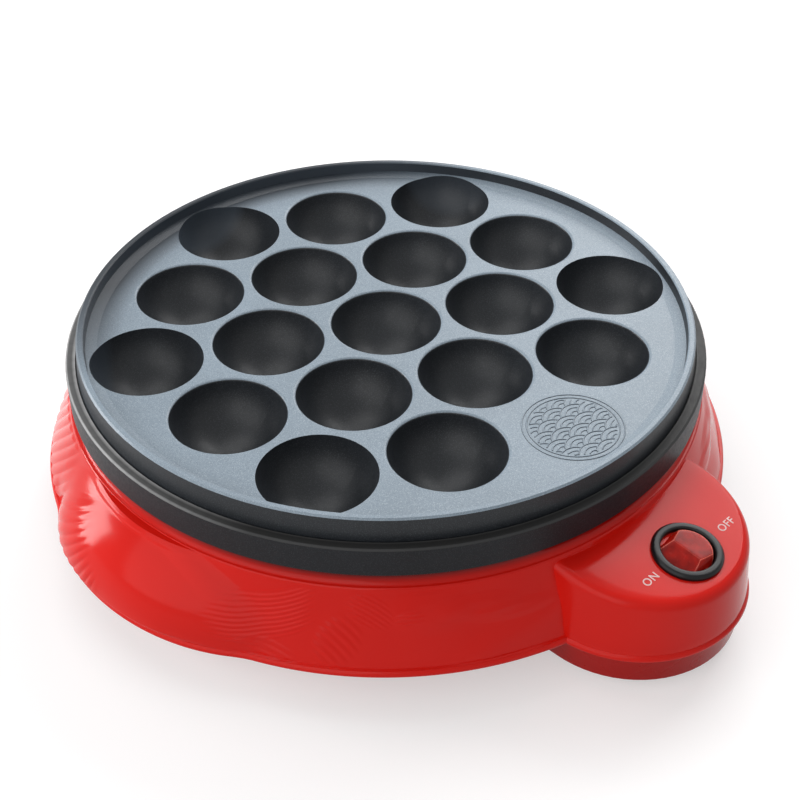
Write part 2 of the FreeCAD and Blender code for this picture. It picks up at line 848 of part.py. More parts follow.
def rubber_feet():
    feet = []
    for angle in FEET:
        x, y = around("foot_circle", angle)
        foot = turned(
            f"foot_{angle}",
            [
                ("0", "0"),
                ("foot_radius - foot_edge", "0"),
                ("foot_radius", "foot_edge"),
                ("foot_radius - foot_taper", "tub_level"),
                ("foot_stem", "tub_level"),
                ("foot_stem", "floor_level"),
                ("foot_catch", "floor_level"),
                ("foot_stem", "floor_level + foot_catch_high"),
                ("0", "floor_level + foot_catch_high"),
            ],
        )
        feet.append(place(foot, (x, y, "0")))
    node(group("rubber_feet", *feet), "rubber_feet")


# ---------------------------------------------------------------- screws


def screw(name, at, shank, grip, head, head_high):
    """Pan-head screw: the head's bearing face is at the point, the shank goes up from it."""
    body = turned(
        name,
        [
            ("0", f"-({head_high}) * 0.55"),
            (f"{shank} * 0.35", f"-({head_high}) * 0.55"),
            (f"{shank} * 0.35", f"-({head_high})"),
            (f"{head} * 0.7", f"-({head_high})"),
            (head, f"-({head_high}) * 0.6"),
            (head, "0"),
            (shank, "0"),
            (shank, f"{grip} - 0.65 * {shank}"),
            (f"{shank} * 0.5", grip),
            ("0", grip),
        ],
    )
    return place(body, at)


def screws_around(name, angles, circle, level, shank, grip, head, head_high):
    pieces = []
    for number, angle in enumerate(angles):
        x, y = around(circle, angle)
        pieces.append(screw(f"{name}_{number}", (x, y, level), shank, grip, head, head_high))
    node(group(name, *pieces), name)


def fasteners():
    screws_around(
        "plate_screws", PLATE_BOSSES, "boss_circle", "pan_top - pan_sheet",
        "plate_screw", "plate_screw_grip", "plate_head", "plate_head_high",
    )
    screws_around(
        "cover_screws", COVER_SCREWS, "cover_screw_circle", "seam_level",
        "cover_screw", "cover_screw_grip", "cover_head", "cover_head_high",
    )
    turned_on = [f"{angle} + clamp_turn" for angle in CLAMPS]
    screws_around(
        "clamp_screws", turned_on, "clamp_circle", "pad_level - clamp_sheet",
        "clamp_screw", "clamp_screw_grip", "clamp_head", "clamp_head_high",
    )


# ---------------------------------------------------------------- heat


def reflector_pan():
    """Dish of bright sheet under the element, held by the plate's screws."""
    pan = turned(
        "pan_body",
        [
            ("0", "pan_floor"),
            ("pan_floor_radius", "pan_floor"),
            ("pan_mouth", "pan_top - 3 * pan_sheet"),
            ("pan_mouth", "pan_top - pan_sheet"),
            ("pan_rim", "pan_top - pan_sheet"),
            ("pan_rim", "pan_top"),
            ("pan_mouth - pan_sheet", "pan_top"),
            ("pan_mouth - pan_sheet", "pan_top - 2.4 * pan_sheet"),
            ("pan_floor_radius - 0.6 * pan_sheet", "pan_floor + pan_sheet"),
            ("0", "pan_floor + pan_sheet"),
        ],
    )
    holes = [cylinder("pan_vent", "pan_vent", "4", ("0", "0", "pan_floor - 1"))]
    for angle in PLATE_BOSSES:
        x, y = around("boss_circle", angle)
        at = (x, y, "pan_top - 2 * pan_sheet")
        holes.append(cylinder(f"pan_hole_{angle}", "plate_screw + passage_gap", "3 * pan_sheet", at))
    for side in ("left", "right"):
        at = ("bend_radius", "0", "pan_floor - 1 - bend_level")
        hole = cylinder(f"leg_hole_{side}_tool", "tube_radius + bush_wall + 2 * hole_gap", "4", at)
        holes.append(at_cold_end(f"leg_hole_{side}", side, hole))
    node(cut("reflector_pan", pan, *holes), "reflector_pan")


def at_cold_end(name, side, *pieces):
    """Pieces made about a bend's centre, with +X towards the leg, put at one end of the ring."""
    end, turn = {
        "left": ("(270 - cold_angle)", "-cold_angle"),
        "right": ("(270 + cold_angle)", "180 + cold_angle"),
    }[side]
    x = f"coil_radius * cos({end} * 1 deg)"
    y = f"coil_radius * sin({end} * 1 deg)"
    return place(group(name, *pieces), (x, y, "bend_level"), turn=turn)


def heating_element():
    """Tubular element: an open ring under the cups whose two ends turn down."""
    ring = doc.addObject("Part::Torus", "coil_ring")
    bind(ring, Radius1="coil_radius", Radius2="tube_radius", Angle3="360 - 2 * cold_angle")
    place(ring, ("0", "0", "coil_level"), turn="270 + cold_angle")
    pieces = [ring]
    for side in ("left", "right"):
        bend = doc.addObject("Part::Torus", f"bend_{side}_tube")
        bind(bend, Radius1="bend_radius", Radius2="tube_radius", Angle3="90")
        place(bend, turn=90, about="x")
        low = ("bend_radius", "0", "leg_end - bend_level")
        leg = cylinder(f"leg_{side}_tube", "tube_radius", "bend_level - leg_end", low)
        pieces.append(at_cold_end(f"bend_{side}", side, bend))
        pieces.append(at_cold_end(f"leg_{side}", side, leg))
    node(fuse("heating_element", *pieces), "heating_element")


def leg_turned(name, profile):
    """The same turned piece on both legs; heights are those of the whole part."""
    pieces = []
    for side in ("left", "right"):
        local = [(radius, f"({level}) - bend_level") for radius, level in profile]
        piece = turned(f"{name}_{side}_body", local)
        place(piece, ("bend_radius", "0", "0"))
        pieces.append(at_cold_end(f"{name}_{side}", side, piece))
    return pieces


def element_ends():
    """Ceramic bushes where the legs pass the pan, and the blades they end in."""
    top = "pan_floor + pan_sheet"
    inner = "tube_radius + hole_gap"
    outer = "tube_radius + bush_wall"
    bushes = leg_turned(
        "bush",
        [
            (inner, f"{top} - bush_high"),
            (outer, f"{top} - bush_high"),
            (outer, top),
            (outer + " + bush_flange", top),
            (outer + " + bush_flange", top + " + bush_sheet"),
            (inner, top + " + bush_sheet"),
        ],
    )
    node(group("element_bushes", *bushes), "element_bushes")
    pieces = []
    for side in ("left", "right"):
        low = "leg_end - bend_level - pin_length"
        stem = cylinder(f"pin_{side}", "pin_radius", "pin_length", ("bend_radius", "0", low))
        flat = blade(f"blade_{side}", ("bend_radius", "0", low))
        pieces.append(at_cold_end(f"end_{side}", side, fuse(f"end_{side}_body", stem, flat)))
    node(group("element_terminals", *pieces), "element_terminals")


def blade(name, at):
    """Flat terminal that hangs down from a point, its width along Y."""
    x, y, level = at
    corner = (f"{x} - blade_thick / 2", f"{y} - blade_width / 2", f"{level} - blade_length")
    return block(name, ("blade_thick", "blade_width", "blade_length"), corner)


def socket(name, x="0", width="blade_width"):
    """Crimped socket over a blade that ends at the local origin; its lead leaves downwards."""
    wide = f"{width} + 2 * (socket_gap + socket_wall)"
    thick = "blade_thick + 2 * (socket_gap + socket_wall)"
    low = "-socket_back - socket_gap"
    corner = (f"{x} - ({thick}) / 2", f"-({wide}) / 2", low)
    shell = block(name + "_shell", (thick, wide, "socket_length"), corner)
    slot = block(
        name + "_slot",
        ("blade_thick + 2 * socket_gap", f"{width} + 2 * socket_gap", "socket_length"),
        (f"{x} - blade_thick / 2 - socket_gap", f"-{width} / 2 - socket_gap", "-socket_gap"),
    )
    return cut(name, shell, slot)


def element_clamps():
    """Bent strips that hold the element up: a screwed ear outside, a free hook inside."""
    inside = "tube_radius + clamp_gap"
    outside = f"{inside} + clamp_sheet"
    deep = f"2 * ({inside})"
    ear = "clamp_ear - clamp_sheet"
    profile = [
        (inside, "0"),
        (ear, "0"),
        ("clamp_ear", "-clamp_sheet / 2"),
        (ear, "-clamp_sheet"),
        (outside, "-clamp_sheet"),
        (outside, f"-({deep}) + clamp_sheet"),
        (inside, f"-({deep}) - clamp_sheet"),
        (f"-({inside})", f"-({deep}) - clamp_sheet"),
        (f"-({outside})", f"-({deep}) + clamp_sheet"),
        (f"-({outside})", "-clamp_hook"),
        (f"-({inside})", "-clamp_hook"),
        (f"-({inside})", f"-({deep}) * 0.75"),
        (f"-({inside}) * 0.6", f"-({deep})"),
        (f"({inside}) * 0.6", f"-({deep})"),
        (inside, f"-({deep}) * 0.75"),
    ]
    pieces = []
    for angle in CLAMPS:
        turn = f"{angle} + clamp_turn"
        strip = extruded(f"clamp_strip_{angle}", "xz", [profile], "clamp_width", centred=True)
        at = ("clamp_circle - coil_radius", "0", "-2 * clamp_sheet")
        bore = cylinder(f"clamp_bore_{angle}", "clamp_screw + passage_gap / 2", "4 * clamp_sheet", at)
        x, y = around("coil_radius", turn)
        clamp = cut(f"clamp_{angle}", strip, bore)
        pieces.append(place(clamp, (x, y, "pad_level"), turn=turn))
    node(group("element_clamps", *pieces), "element_clamps")


def thermostat():
    """Disc thermostat screwed by its stud into the plate's left inner boss."""
    can = turned(
        "thermo_can",
        [
            ("0", "boss_tip - thermo_high"),
            ("thermo_radius - thermo_edge", "boss_tip - thermo_high"),
            ("thermo_radius", "boss_tip - thermo_high + thermo_edge"),
            ("thermo_radius", "boss_tip - thermo_flange"),
            ("thermo_radius - thermo_edge", "boss_tip - 0.8 * thermo_flange"),
            ("thermo_radius - thermo_edge", "boss_tip"),
            ("thermo_stud", "boss_tip"),
            ("thermo_stud", "boss_tip + thermo_stud_long"),
            ("0", "boss_tip + thermo_stud_long"),
        ],
    )
    place(can, ("-interstice", "0", "0"))
    blades = [
        block(
            f"thermo_blade_{word}",
            ("thermo_radius + blade_length", "slim_blade", "blade_thick"),
            (
                "-interstice",
                f"{sign}vent_spread - slim_blade / 2",
                "inner_blade_level - blade_thick / 2",
            ),
        )
        for word, sign in (("front", "-"), ("back", ""))
    ]
    node(fuse("thermostat", can, *blades), "thermostat")


def earth_point():
    """Stepped earth tag under a screw in the plate's right inner boss."""
    reach = "interstice - thermo_radius - blade_length"
    low = "inner_blade_level - blade_thick / 2"
    step = "boss_tip - earth_sheet"
    strip = extruded(
        "earth_strip",
        "xz",
        [
            [
                ("interstice + earth_radius", "boss_tip"),
                ("interstice - earth_radius", "boss_tip"),
                ("interstice - earth_radius - earth_step", f"{low} + blade_thick"),
                (reach, f"{low} + blade_thick"),
                (reach, low),
                ("interstice - earth_radius - 0.75 * earth_step", low),
                ("interstice - earth_radius + 0.25 * earth_step", step),
                ("interstice + earth_radius", step),
            ]
        ],
        "slim_blade",
        centred=True,
    )
    under = ("interstice", "0", "boss_tip - 4 * earth_sheet")
    hole = cylinder("earth_hole", "earth_screw + hole_gap", "8 * earth_sheet", under)
    node(cut("earth_tag", strip, hole), "earth_tag")
    fixing = screw(
        "earth_screw",
        ("interstice", "0", step),
        "earth_screw",
        "earth_screw_grip",
        "earth_head",
        "earth_head_high",
    )
    node(fixing, "earth_screw")


# ---------------------------------------------------------------- switch


def switch_housing():
    inside = "-barrel_deep + barrel_floor"
    barrel = turned(
        "barrel",
        [
            ("0", "-barrel_deep"),
            ("barrel_outer", "-barrel_deep"),
            ("barrel_outer", "0"),
            ("bezel_outer", "0"),
            ("bezel_outer", "bezel_high - bezel_edge"),
            ("bezel_outer - bezel_edge", "bezel_high"),
            ("barrel_inner + bezel_edge / 2", "bezel_high"),
            ("barrel_inner", "bezel_high - bezel_edge / 2"),
            ("barrel_inner", inside),
            ("0", inside),
        ],
    )
    under = "casing_wall + passage_gap / 2"
    catches = [
        block(
            f"catch_{word}",
            ("barrel_outer - barrel_inner + catch_proud", "catch_width", "catch_high"),
            (start, "-catch_width / 2", f"-({under}) - catch_high"),
        )
        for word, start in (("left", "-barrel_outer - catch_proud"), ("right", "barrel_inner"))
    ]
    across = ("0", "2 * barrel_outer", "-pivot_drop")
    pivot = cylinder("pivot_hole", "trunnion + pivot_gap", "4 * barrel_outer", across, 90, "x")
    holes = [pivot]
    for word, x in (("left", "-terminal_pitch"), ("middle", "0"), ("right", "terminal_pitch")):
        size = ("blade_thick + 2 * hole_gap", "blade_width + 2 * hole_gap", "2 * barrel_floor")
        corner = (
            f"{x} - blade_thick / 2 - hole_gap",
            "-blade_width / 2 - hole_gap",
            "-barrel_deep - barrel_floor / 2",
        )
        holes.append(block(f"blade_slot_{word}", size, corner))
    shell = cut("switch_shell", fuse("switch_rough", barrel, *catches), *holes)
    node(on_box_top(group("switch_housing", shell)), "switch_housing")


def in_rocker(name, *pieces):
    """Pieces made about the rocker's pivot, turned to the ON position in the switch."""
    turned_piece = group(name + "_tilted", *pieces)
    place(turned_piece, ("0", "0", "-pivot_drop"), turn="-rocker_throw / 2", about="y")
    return on_box_top(group(name, turned_piece))


def roof(name, lower, low):
    """Prism under the rocker's two faces, which meet in a crest over the pivot."""
    wide = "rocker_radius + 1"
    top = f"pivot_drop + rocker_crest - {lower}"
    eave = f"{top} - ({wide}) * tan(rocker_throw / 2 * 1 deg)"
    profile = [(f"-({wide})", low), (wide, low), (wide, eave), ("0", top), (f"-({wide})", eave)]
    return extruded(name, "xz", [profile], "4 * rocker_radius", centred=True)


def rocker_form(name, inset, low):
    """Ball under the two faces, with its front and back ends rolled down from the crest."""
    solid = ball(name + "_ball", f"rocker_radius - {inset}", ("0", "0", "0"))
    faces = both(name + "_faces", solid, roof(name + "_roof", inset, low))
    barrel_level = "pivot_drop + rocker_crest + rocker_end_rise - rocker_end_radius"
    at = ("-2 * rocker_radius", "0", barrel_level)
    ends = cylinder(
        name + "_ends", f"rocker_end_radius - {inset}", "4 * rocker_radius", at, 90, "y"
    )
    return both(name, faces, ends)


def rocker():
    outside = rocker_form("rocker_outside", "0", "-rocker_skirt")
    hollow = rocker_form("rocker_hollow", "rocker_wall", "-rocker_skirt - 1")
    low = ("0", "0", "-guide_low")
    tall = "guide_low + pivot_drop + rocker_crest - rocker_wall / 2"
    guide = cylinder("guide", "guide_radius", tall, low)
    bore = cylinder("guide_bore", "plunger_radius + hole_gap", "guide_low + guide_top", low)
    across = ("0", "trunnion_end", "0")
    pins = cylinder("trunnions", "trunnion", "2 * trunnion_end", across, 90, "x")
    core = ball("trunnion_core", "rocker_radius - rocker_wall / 2", ("0", "0", "0"))
    shell = cut("rocker_shell", outside, hollow)
    whole = fuse("rocker_whole", shell, guide, cut("trunnion_ends", pins, core))
    node(in_rocker("rocker", cut("rocker_body", whole, bore)), "rocker")


def rocker_contents():
    at = ("lamp_offset", "lamp_length / 2", "-lamp_drop")
    lamp = cylinder("lamp", "lamp_radius", "lamp_length", at, 90, "x")
    node(in_rocker("neon_lamp", lamp), "neon_lamp")
    tip = turned(
        "plunger_body",
        [
            ("0", "-plunger_reach"),
            ("plunger_radius * 0.5", "-plunger_reach"),
            ("plunger_radius", "-plunger_reach + plunger_radius * 0.7"),
            ("plunger_radius", "-plunger_reach + plunger_length"),
            ("0", "-plunger_reach + plunger_length"),
        ],
    )
    node(in_rocker("contact_plunger", tip), "contact_plunger")
    spring = doc.addObject("Part::Feature", "spring_coil")
    low = value("-plunger_reach + plunger_length + spring_wire")
    tall = value("guide_top - spring_wire") - low
    radius = value("spring_radius")
    wire = value("spring_wire")
    helix = Part.makeHelix(tall / value("spring_turns"), tall, radius)
    section = Part.Wire(Part.Circle(Vec(radius, 0, 0), Vec(0, 1, 0), wire).toShape())
    spring.Shape = Part.Wire(helix).makePipeShell([section], True, True)
    spring.Placement = FreeCAD.Placement(Vec(0, 0, low), FreeCAD.Rotation())
    node(in_rocker("contact_spring", spring), "contact_spring")


def contact_bridge():
    """Rocking strip on the middle terminal's rounded post, tilted onto its live contact."""
    strip = block(
        "bridge_strip",
        ("2 * bridge_half", "bridge_width", "bridge_sheet"),
        ("-bridge_half", "-bridge_width / 2", "post_radius + post_gap"),
    )
    rivets = [
        cylinder(
            f"bridge_rivet_{word}",
            "contact_radius",
            "contact_thick",
            (f"{sign}contact_reach", "0", "post_radius + post_gap - contact_thick"),
        )
        for word, sign in (("left", "-"), ("right", ""))
    ]
    tilted = group("bridge_tilted", fuse("bridge_body", strip, *rivets))
    place(tilted, ("0", "0", "-bridge_pivot"), turn="bridge_tilt", about="y")
    node(on_box_top(group("contact_bridge", tilted)), "contact_bridge")


def switch_terminals():
    """Three blades: the middle one ends in the bridge's post, the outer ones in contacts."""
    tip = "contact_reach * sin(bridge_tilt * 1 deg) + contact_thick + contact_gap"
    seat = f"-bridge_pivot - ({tip} - post_radius - post_gap)"
    shelf = f"{seat} - contact_thick"
    foot = "-barrel_deep - blade_length"
    pieces = []
    for word, sign in (("left", "-"), ("right", "")):
        upright = block(
            f"upright_{word}",
            ("blade_thick", "blade_width", f"({shelf}) - ({foot})"),
            (f"{sign}terminal_pitch - blade_thick / 2", "-blade_width / 2", foot),
        )
        inner = "contact_reach - contact_radius"
        start = "-terminal_pitch - blade_thick / 2" if sign else inner
        arm = block(
            f"arm_{word}",
            (f"terminal_pitch + blade_thick / 2 - ({inner})", "bridge_width", "blade_thick"),
            (start, "-bridge_width / 2", f"{shelf} - blade_thick"),
        )
        at = (f"{sign}contact_reach", "0", shelf)
        rivet = cylinder(f"rivet_{word}", "contact_radius", "contact_thick", at)
        pieces.append(fuse(f"terminal_{word}", upright, arm, rivet))
    upright = block(
        "upright_middle",
        ("blade_thick", "blade_width", f"-bridge_pivot - ({foot})"),
        ("-blade_thick / 2", "-blade_width / 2", foot),
    )
    across = ("0", "blade_width / 2", "-bridge_pivot")
    post = cylinder("post", "post_radius", "blade_width", across, 90, "x")
    pieces.append(fuse("terminal_middle", upright, post))
    node(on_box_top(group("switch_terminals", *pieces)), "switch_terminals")


# ---------------------------------------------------------------- cord entry, block and leads


def cord_grommet():
    body = turned(
        "grommet_body",
        [
            ("cord_bore", "-entry_depth - grommet_lip"),
            ("grommet_body", "-entry_depth - grommet_lip"),
            ("grommet_catch", "-entry_depth"),
            ("grommet_body", "-entry_depth"),
            ("grommet_body", "0"),
            ("grommet_flange", "0"),
            ("grommet_flange", "grommet_lip - grommet_edge"),
            ("grommet_flange - 1.5 * grommet_edge", "grommet_lip"),
            ("cord_bore", "grommet_lip"),
        ],
    )
    node(place(body, ("0", "entry_face", "cord_level"), turn=-90, about="x"), "cord_grommet")


def terminal_block():
    low = "floor_level"
    brick = block(
        "block_brick",
        ("block_length", "block_depth", "block_high"),
        ("-block_length / 2", "block_front", low),
    )
    holes = []
    sleeves = []
    for word, x in (("left", "-block_pitch"), ("middle", "0"), ("right", "block_pitch")):
        bore = ("block_bore", "block_front - 1", "block_depth + 2", x, "block_axis")
        length = "block_depth - 2 * sleeve_inset"
        start = "block_front + sleeve_inset"
        barrel = ("block_bore - sleeve_gap", start, length, x, "block_axis")
        core = ("sleeve_bore", "block_front", "block_depth", x, "block_axis")
        holes.append(along_y(f"block_bore_{word}", *bore))
        barrel = along_y(f"sleeve_barrel_{word}", *barrel)
        sleeves.append(cut(f"sleeve_{word}", barrel, along_y(f"sleeve_bore_{word}", *core)))
    fixings = []
    for word, sign in (("left", "-"), ("right", "")):
        x = f"{sign}block_screw_out"
        hole = ("cover_screw + hole_gap", "block_high + 2", (x, "block_reach", "floor_level - 1"))
        holes.append(cylinder(f"block_hole_{word}", *hole))
        top = (x, "block_reach", "floor_level + block_high")
        grip = "block_high + 0.8 * floor_thick"
        fixing = screw(
            f"block_screw_{word}", top, "cover_screw", grip, "cover_head", "cover_head_high"
        )
        fixings.append(place(fixing, top, turn=180, about="x"))
    node(cut("terminal_block", brick, *holes), "terminal_block")
    node(group("block_sleeves", *sleeves), "block_sleeves")
    node(group("block_screws", *fixings), "block_screws")


def tube(name, points):
    """Round lead along straight runs joined by tangent arcs."""
    corners = [Vec(*[value(text) for text in point]) for point in points]
    bend = value("lead_bend")
    radius = value("lead_radius")
    edges = []
    here = corners[0]
    for before, corner, after in zip(corners, corners[1:], corners[2:]):
        back = before - corner
        ahead = after - corner
        turn = math.pi - back.getAngle(ahead)
        half_tangent = math.tan(turn / 2)
        reach = min(bend * half_tangent, 0.45 * min(back.Length, ahead.Length))
        arc_radius = reach / half_tangent
        start = corner + back.normalize() * reach
        stop = corner + ahead.normalize() * reach
        middle = back + ahead
        inward = arc_radius / math.cos(turn / 2) - arc_radius
        edges.append(Part.LineSegment(here, start).toShape())
        edges.append(Part.Arc(start, corner + middle.normalize() * inward, stop).toShape())
        here = stop
    edges.append(Part.LineSegment(here, corners[-1]).toShape())
    path = Part.Wire(edges)
    section = Part.Wire(Part.Circle(corners[0], corners[1] - corners[0], radius).toShape())
    lead = doc.addObject("Part::Feature", name)
    lead.Shape = path.makePipeShell([section], True, False)
    return lead


def switch_point(x, level):
    """Where a point of the switch's own frame lies in the part's frame."""
    y = f"-switch_reach - ({level}) * sin(box_slope * 1 deg)"
    return x, y, f"switch_level + ({level}) * cos(box_slope * 1 deg)"


def switch_socket(name, x):
    low = ("0", "0", "-barrel_deep - blade_length")
    piece = place(group(name + "_local", socket(name + "_piece", x)), low)
    return on_box_top(group(name, piece))


def inner_socket(name, x, y, turn):
    """Socket on a level blade of the thermostat or the earth tag."""
    slim = group(name + "_upright", socket(name + "_piece", width="slim_blade"))
    place(slim, turn=turn, about="y")
    return place(group(name, slim), (x, y, "inner_blade_level"))


def leg_point(side, level):
    """A point on the axis of one of the element's legs."""
    sign = "-" if side == "left" else ""
    x = f"{sign}(cold_gap - bend_radius * cos(cold_angle * 1 deg))"
    y = "-(coil_radius * cos(cold_angle * 1 deg) + bend_radius * sin(cold_angle * 1 deg))"
    return x, y, level


def leads():
    """Sheathed leads between block, switch, thermostat, fuse and element."""
    tail = "-barrel_deep - blade_length - socket_back - socket_gap"
    blade_end = "leg_end - pin_length - blade_length"
    leg_socket_end = f"{blade_end} - socket_back - socket_gap"
    grip = "block_front + sleeve_inset + lead_grip"
    rise = "block_front - lead_rise"
    away = "block_front - lead_away"

    def leg_socket(name, side):
        low = f"{blade_end} - bend_level"
        piece = place(group(name + "_local", socket(name + "_piece")), ("bend_radius", "0", low))
        return at_cold_end(name, side, piece)

    def to_block(x, side):
        return [(side, away, "lead_level"), (x, rise, "block_axis"), (x, grip, "block_axis")]

    x, y, level = switch_point("0", tail)
    live = tube(
        "live_wire",
        [(x, y, level), (x, y, "lead_level"), ("lead_side", "-box_back", "lead_level")]
        + to_block("block_pitch", "lead_side"),
    )
    node(fuse("lead_live", live, switch_socket("live_socket", "0")), "lead_live")

    tip_x = "-interstice + thermo_radius + blade_length"
    inner_x = f"{tip_x} + socket_back + socket_gap"
    x, y, level = switch_point("-terminal_pitch", tail)
    switched = tube(
        "switched_wire",
        [
            (x, y, level),
            (x, y, "lead_level"),
            ("-vent_offset", "-box_back", "lead_level"),
            ("-vent_offset", "-vent_spread", "lead_level"),
            ("-vent_offset", "-vent_spread", "inner_blade_level"),
            (inner_x, "-vent_spread", "inner_blade_level"),
        ],
    )
    node(
        fuse(
            "lead_switched",
            switched,
            switch_socket("switched_socket", "-terminal_pitch"),
            inner_socket("thermo_socket_front", tip_x, "-vent_spread", -90),
        ),
        "lead_switched",
    )

    end_x, end_y, end_level = leg_point("right", leg_socket_end)
    heater = tube(
        "heater_wire",
        [
            (inner_x, "vent_spread", "inner_blade_level"),
            ("-vent_offset", "vent_spread", "inner_blade_level"),
            ("-vent_offset", "vent_spread", "lead_level + hump"),
            ("lead_inner", "vent_spread", "lead_level + hump"),
            ("lead_inner", "-vent_spread", "fuse_level"),
            ("lead_inner", "-coil_radius * 0.7", "fuse_level"),
            (end_x, end_y, "fuse_level"),
            (end_x, end_y, end_level),
        ],
    )
    node(
        fuse(
            "lead_heater",
            heater,
            inner_socket("thermo_socket_back", tip_x, "vent_spread", -90),
            leg_socket("leg_socket_right", "right"),
        ),
        "lead_heater",
    )

    end_x, end_y, end_level = leg_point("left", leg_socket_end)
    neutral = tube(
        "neutral_wire",
        [
            (end_x, end_y, end_level),
            (end_x, end_y, "lead_level"),
            ("-lead_inner", "-coil_radius * 0.6", "lead_level"),
        ]
        + to_block("-block_pitch", "-lead_inner"),
    )
    node(fuse("lead_neutral", neutral, leg_socket("leg_socket_left", "left")), "lead_neutral")

    earth_x = "interstice - thermo_radius - blade_length - socket_back - socket_gap"
    earth = tube(
        "earth_wire",
        [
            (earth_x, "0", "inner_blade_level"),
            ("vent_spread", "0", "inner_blade_level"),
            ("vent_spread", "0", "lead_level"),
        ]
        + to_block("0", "vent_spread"),
    )
    tag = inner_socket("earth_socket", "interstice - thermo_radius - blade_length", "0", 90)
    node(fuse("lead_earth", earth, tag), "lead_earth")


def thermal_fuse():
    """Cutout in line with the heater lead, lying on the floor."""
    start = "-vent_spread - fuse_clear - fuse_length"
    barrel = along_y("fuse_barrel", "fuse_radius", start, "fuse_length", "lead_inner", "fuse_level")
    bore = ("lead_radius + hole_gap", f"{start} - 1", "fuse_length + 2", "lead_inner", "fuse_level")
    core = along_y("fuse_core", *bore)
    node(cut("thermal_fuse", barrel, core), "thermal_fuse")


cooking_plate()
skirt_ring()
upper_casing()
bottom_cover()
rubber_feet()
fasteners()
reflector_pan()
heating_element()
element_ends()
element_clamps()
thermostat()
earth_point()
switch_housing()
rocker()
rocker_contents()
contact_bridge()
switch_terminals()
cord_grommet()
terminal_block()
leads()
thermal_fuse()
doc.recompute()

for thing in doc.Objects:
    if "Invalid" in thing.State or "Error" in thing.State:
        raise RuntimeError(f"{thing.Name} failed: {thing.State}")
os.makedirs("parts", exist_ok=True)
for name, thing in NODES.items():
    shape = thing.Shape
    if shape.isNull() or not shape.isValid() or not shape.Solids:
        raise RuntimeError(f"{name} has no valid solid")
    if thing.Label != name:
        raise RuntimeError(f"{name} is labelled {thing.Label}")
    shape.exportStep(f"parts/{name}.step")
    print(name, len(shape.Solids), round(shape.Volume, 1))
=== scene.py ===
import math

import bmesh
import bpy
import numpy as np
from mathutils import Matrix, Vector


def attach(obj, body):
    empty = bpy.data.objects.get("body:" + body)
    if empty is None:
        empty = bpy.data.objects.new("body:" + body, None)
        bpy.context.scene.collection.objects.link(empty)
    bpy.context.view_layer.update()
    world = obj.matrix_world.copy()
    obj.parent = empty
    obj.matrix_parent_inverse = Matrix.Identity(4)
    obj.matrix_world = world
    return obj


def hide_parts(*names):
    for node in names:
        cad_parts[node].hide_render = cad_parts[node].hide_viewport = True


# Looks of a takoyaki maker. Lengths in the shape code are millimetres about the cooking plate's
# axis, as in the part's source; point() turns them into metres in the frame. Lengths in the
# materials are metres in the frame.

PLATE_OFFSET = 13.3

# round casing
SEAM = 16.0
LIP = 43.85
DECK = 48.05
HEM_OUTER = 121.9
LIP_OUTER = 111.7
COLLAR_OUTER = 109.4
DECK_HOLE = 99.5
WALL = 2.5
HEM_HIGH = 1.9
HEM_PROUD = 0.6
WALL_FROM = SEAM + HEM_HIGH + 0.7  # over the groove that follows the hem
SLANT = (HEM_OUTER - LIP_OUTER) / (LIP - SEAM)

# handles: ellipsoids whose centres lie in the seam plane
SHELL_CENTRE = 80.0
SHELL_REACH = 47.9
SHELL_HALF_WIDTH = 64.4
SHELL_RISE = 39.0
HANDLE_BLEND = 1.2

# control box and switch
NOSE_RADIUS = 38.0
NOSE_CENTRE = 112.0
BOX_BACK = 99.0
BOX_TOP = 42.5
BOX_TOP_FROM = 108.0
BOX_SLOPE = math.radians(7.9)
BOX_EDGE = 3.0
BOX_DRAFT = math.tan(math.radians(5.5))
SWITCH_REACH = 131.6
SWITCH_HOLE = 10.0
SWITCH_LEVEL = BOX_TOP - (SWITCH_REACH - BOX_TOP_FROM) * math.tan(BOX_SLOPE)

# cord entry
TURRET_REACH = 121.5
TURRET_LEVEL = 27.5
TURRET_LENGTH = 9.5
TURRET_HOLE = 6.15
TURRET_OUTER = 9.3
TURRET_CHAMFER = 0.4

# cooking plate
PLATE_LEVEL = 63.0
MEDALLION = (0.0, -84.0)

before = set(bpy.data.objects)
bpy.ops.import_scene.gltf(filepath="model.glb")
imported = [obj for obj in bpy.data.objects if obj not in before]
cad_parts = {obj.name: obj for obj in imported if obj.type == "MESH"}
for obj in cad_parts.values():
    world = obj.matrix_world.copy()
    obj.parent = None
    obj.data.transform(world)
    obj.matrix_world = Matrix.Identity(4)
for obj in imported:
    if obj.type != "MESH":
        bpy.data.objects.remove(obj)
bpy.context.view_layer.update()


def point(x, y, z):
    return x / 1000, (y + PLATE_OFFSET) / 1000, z / 1000


# ---------------------------------------------------------------- materials


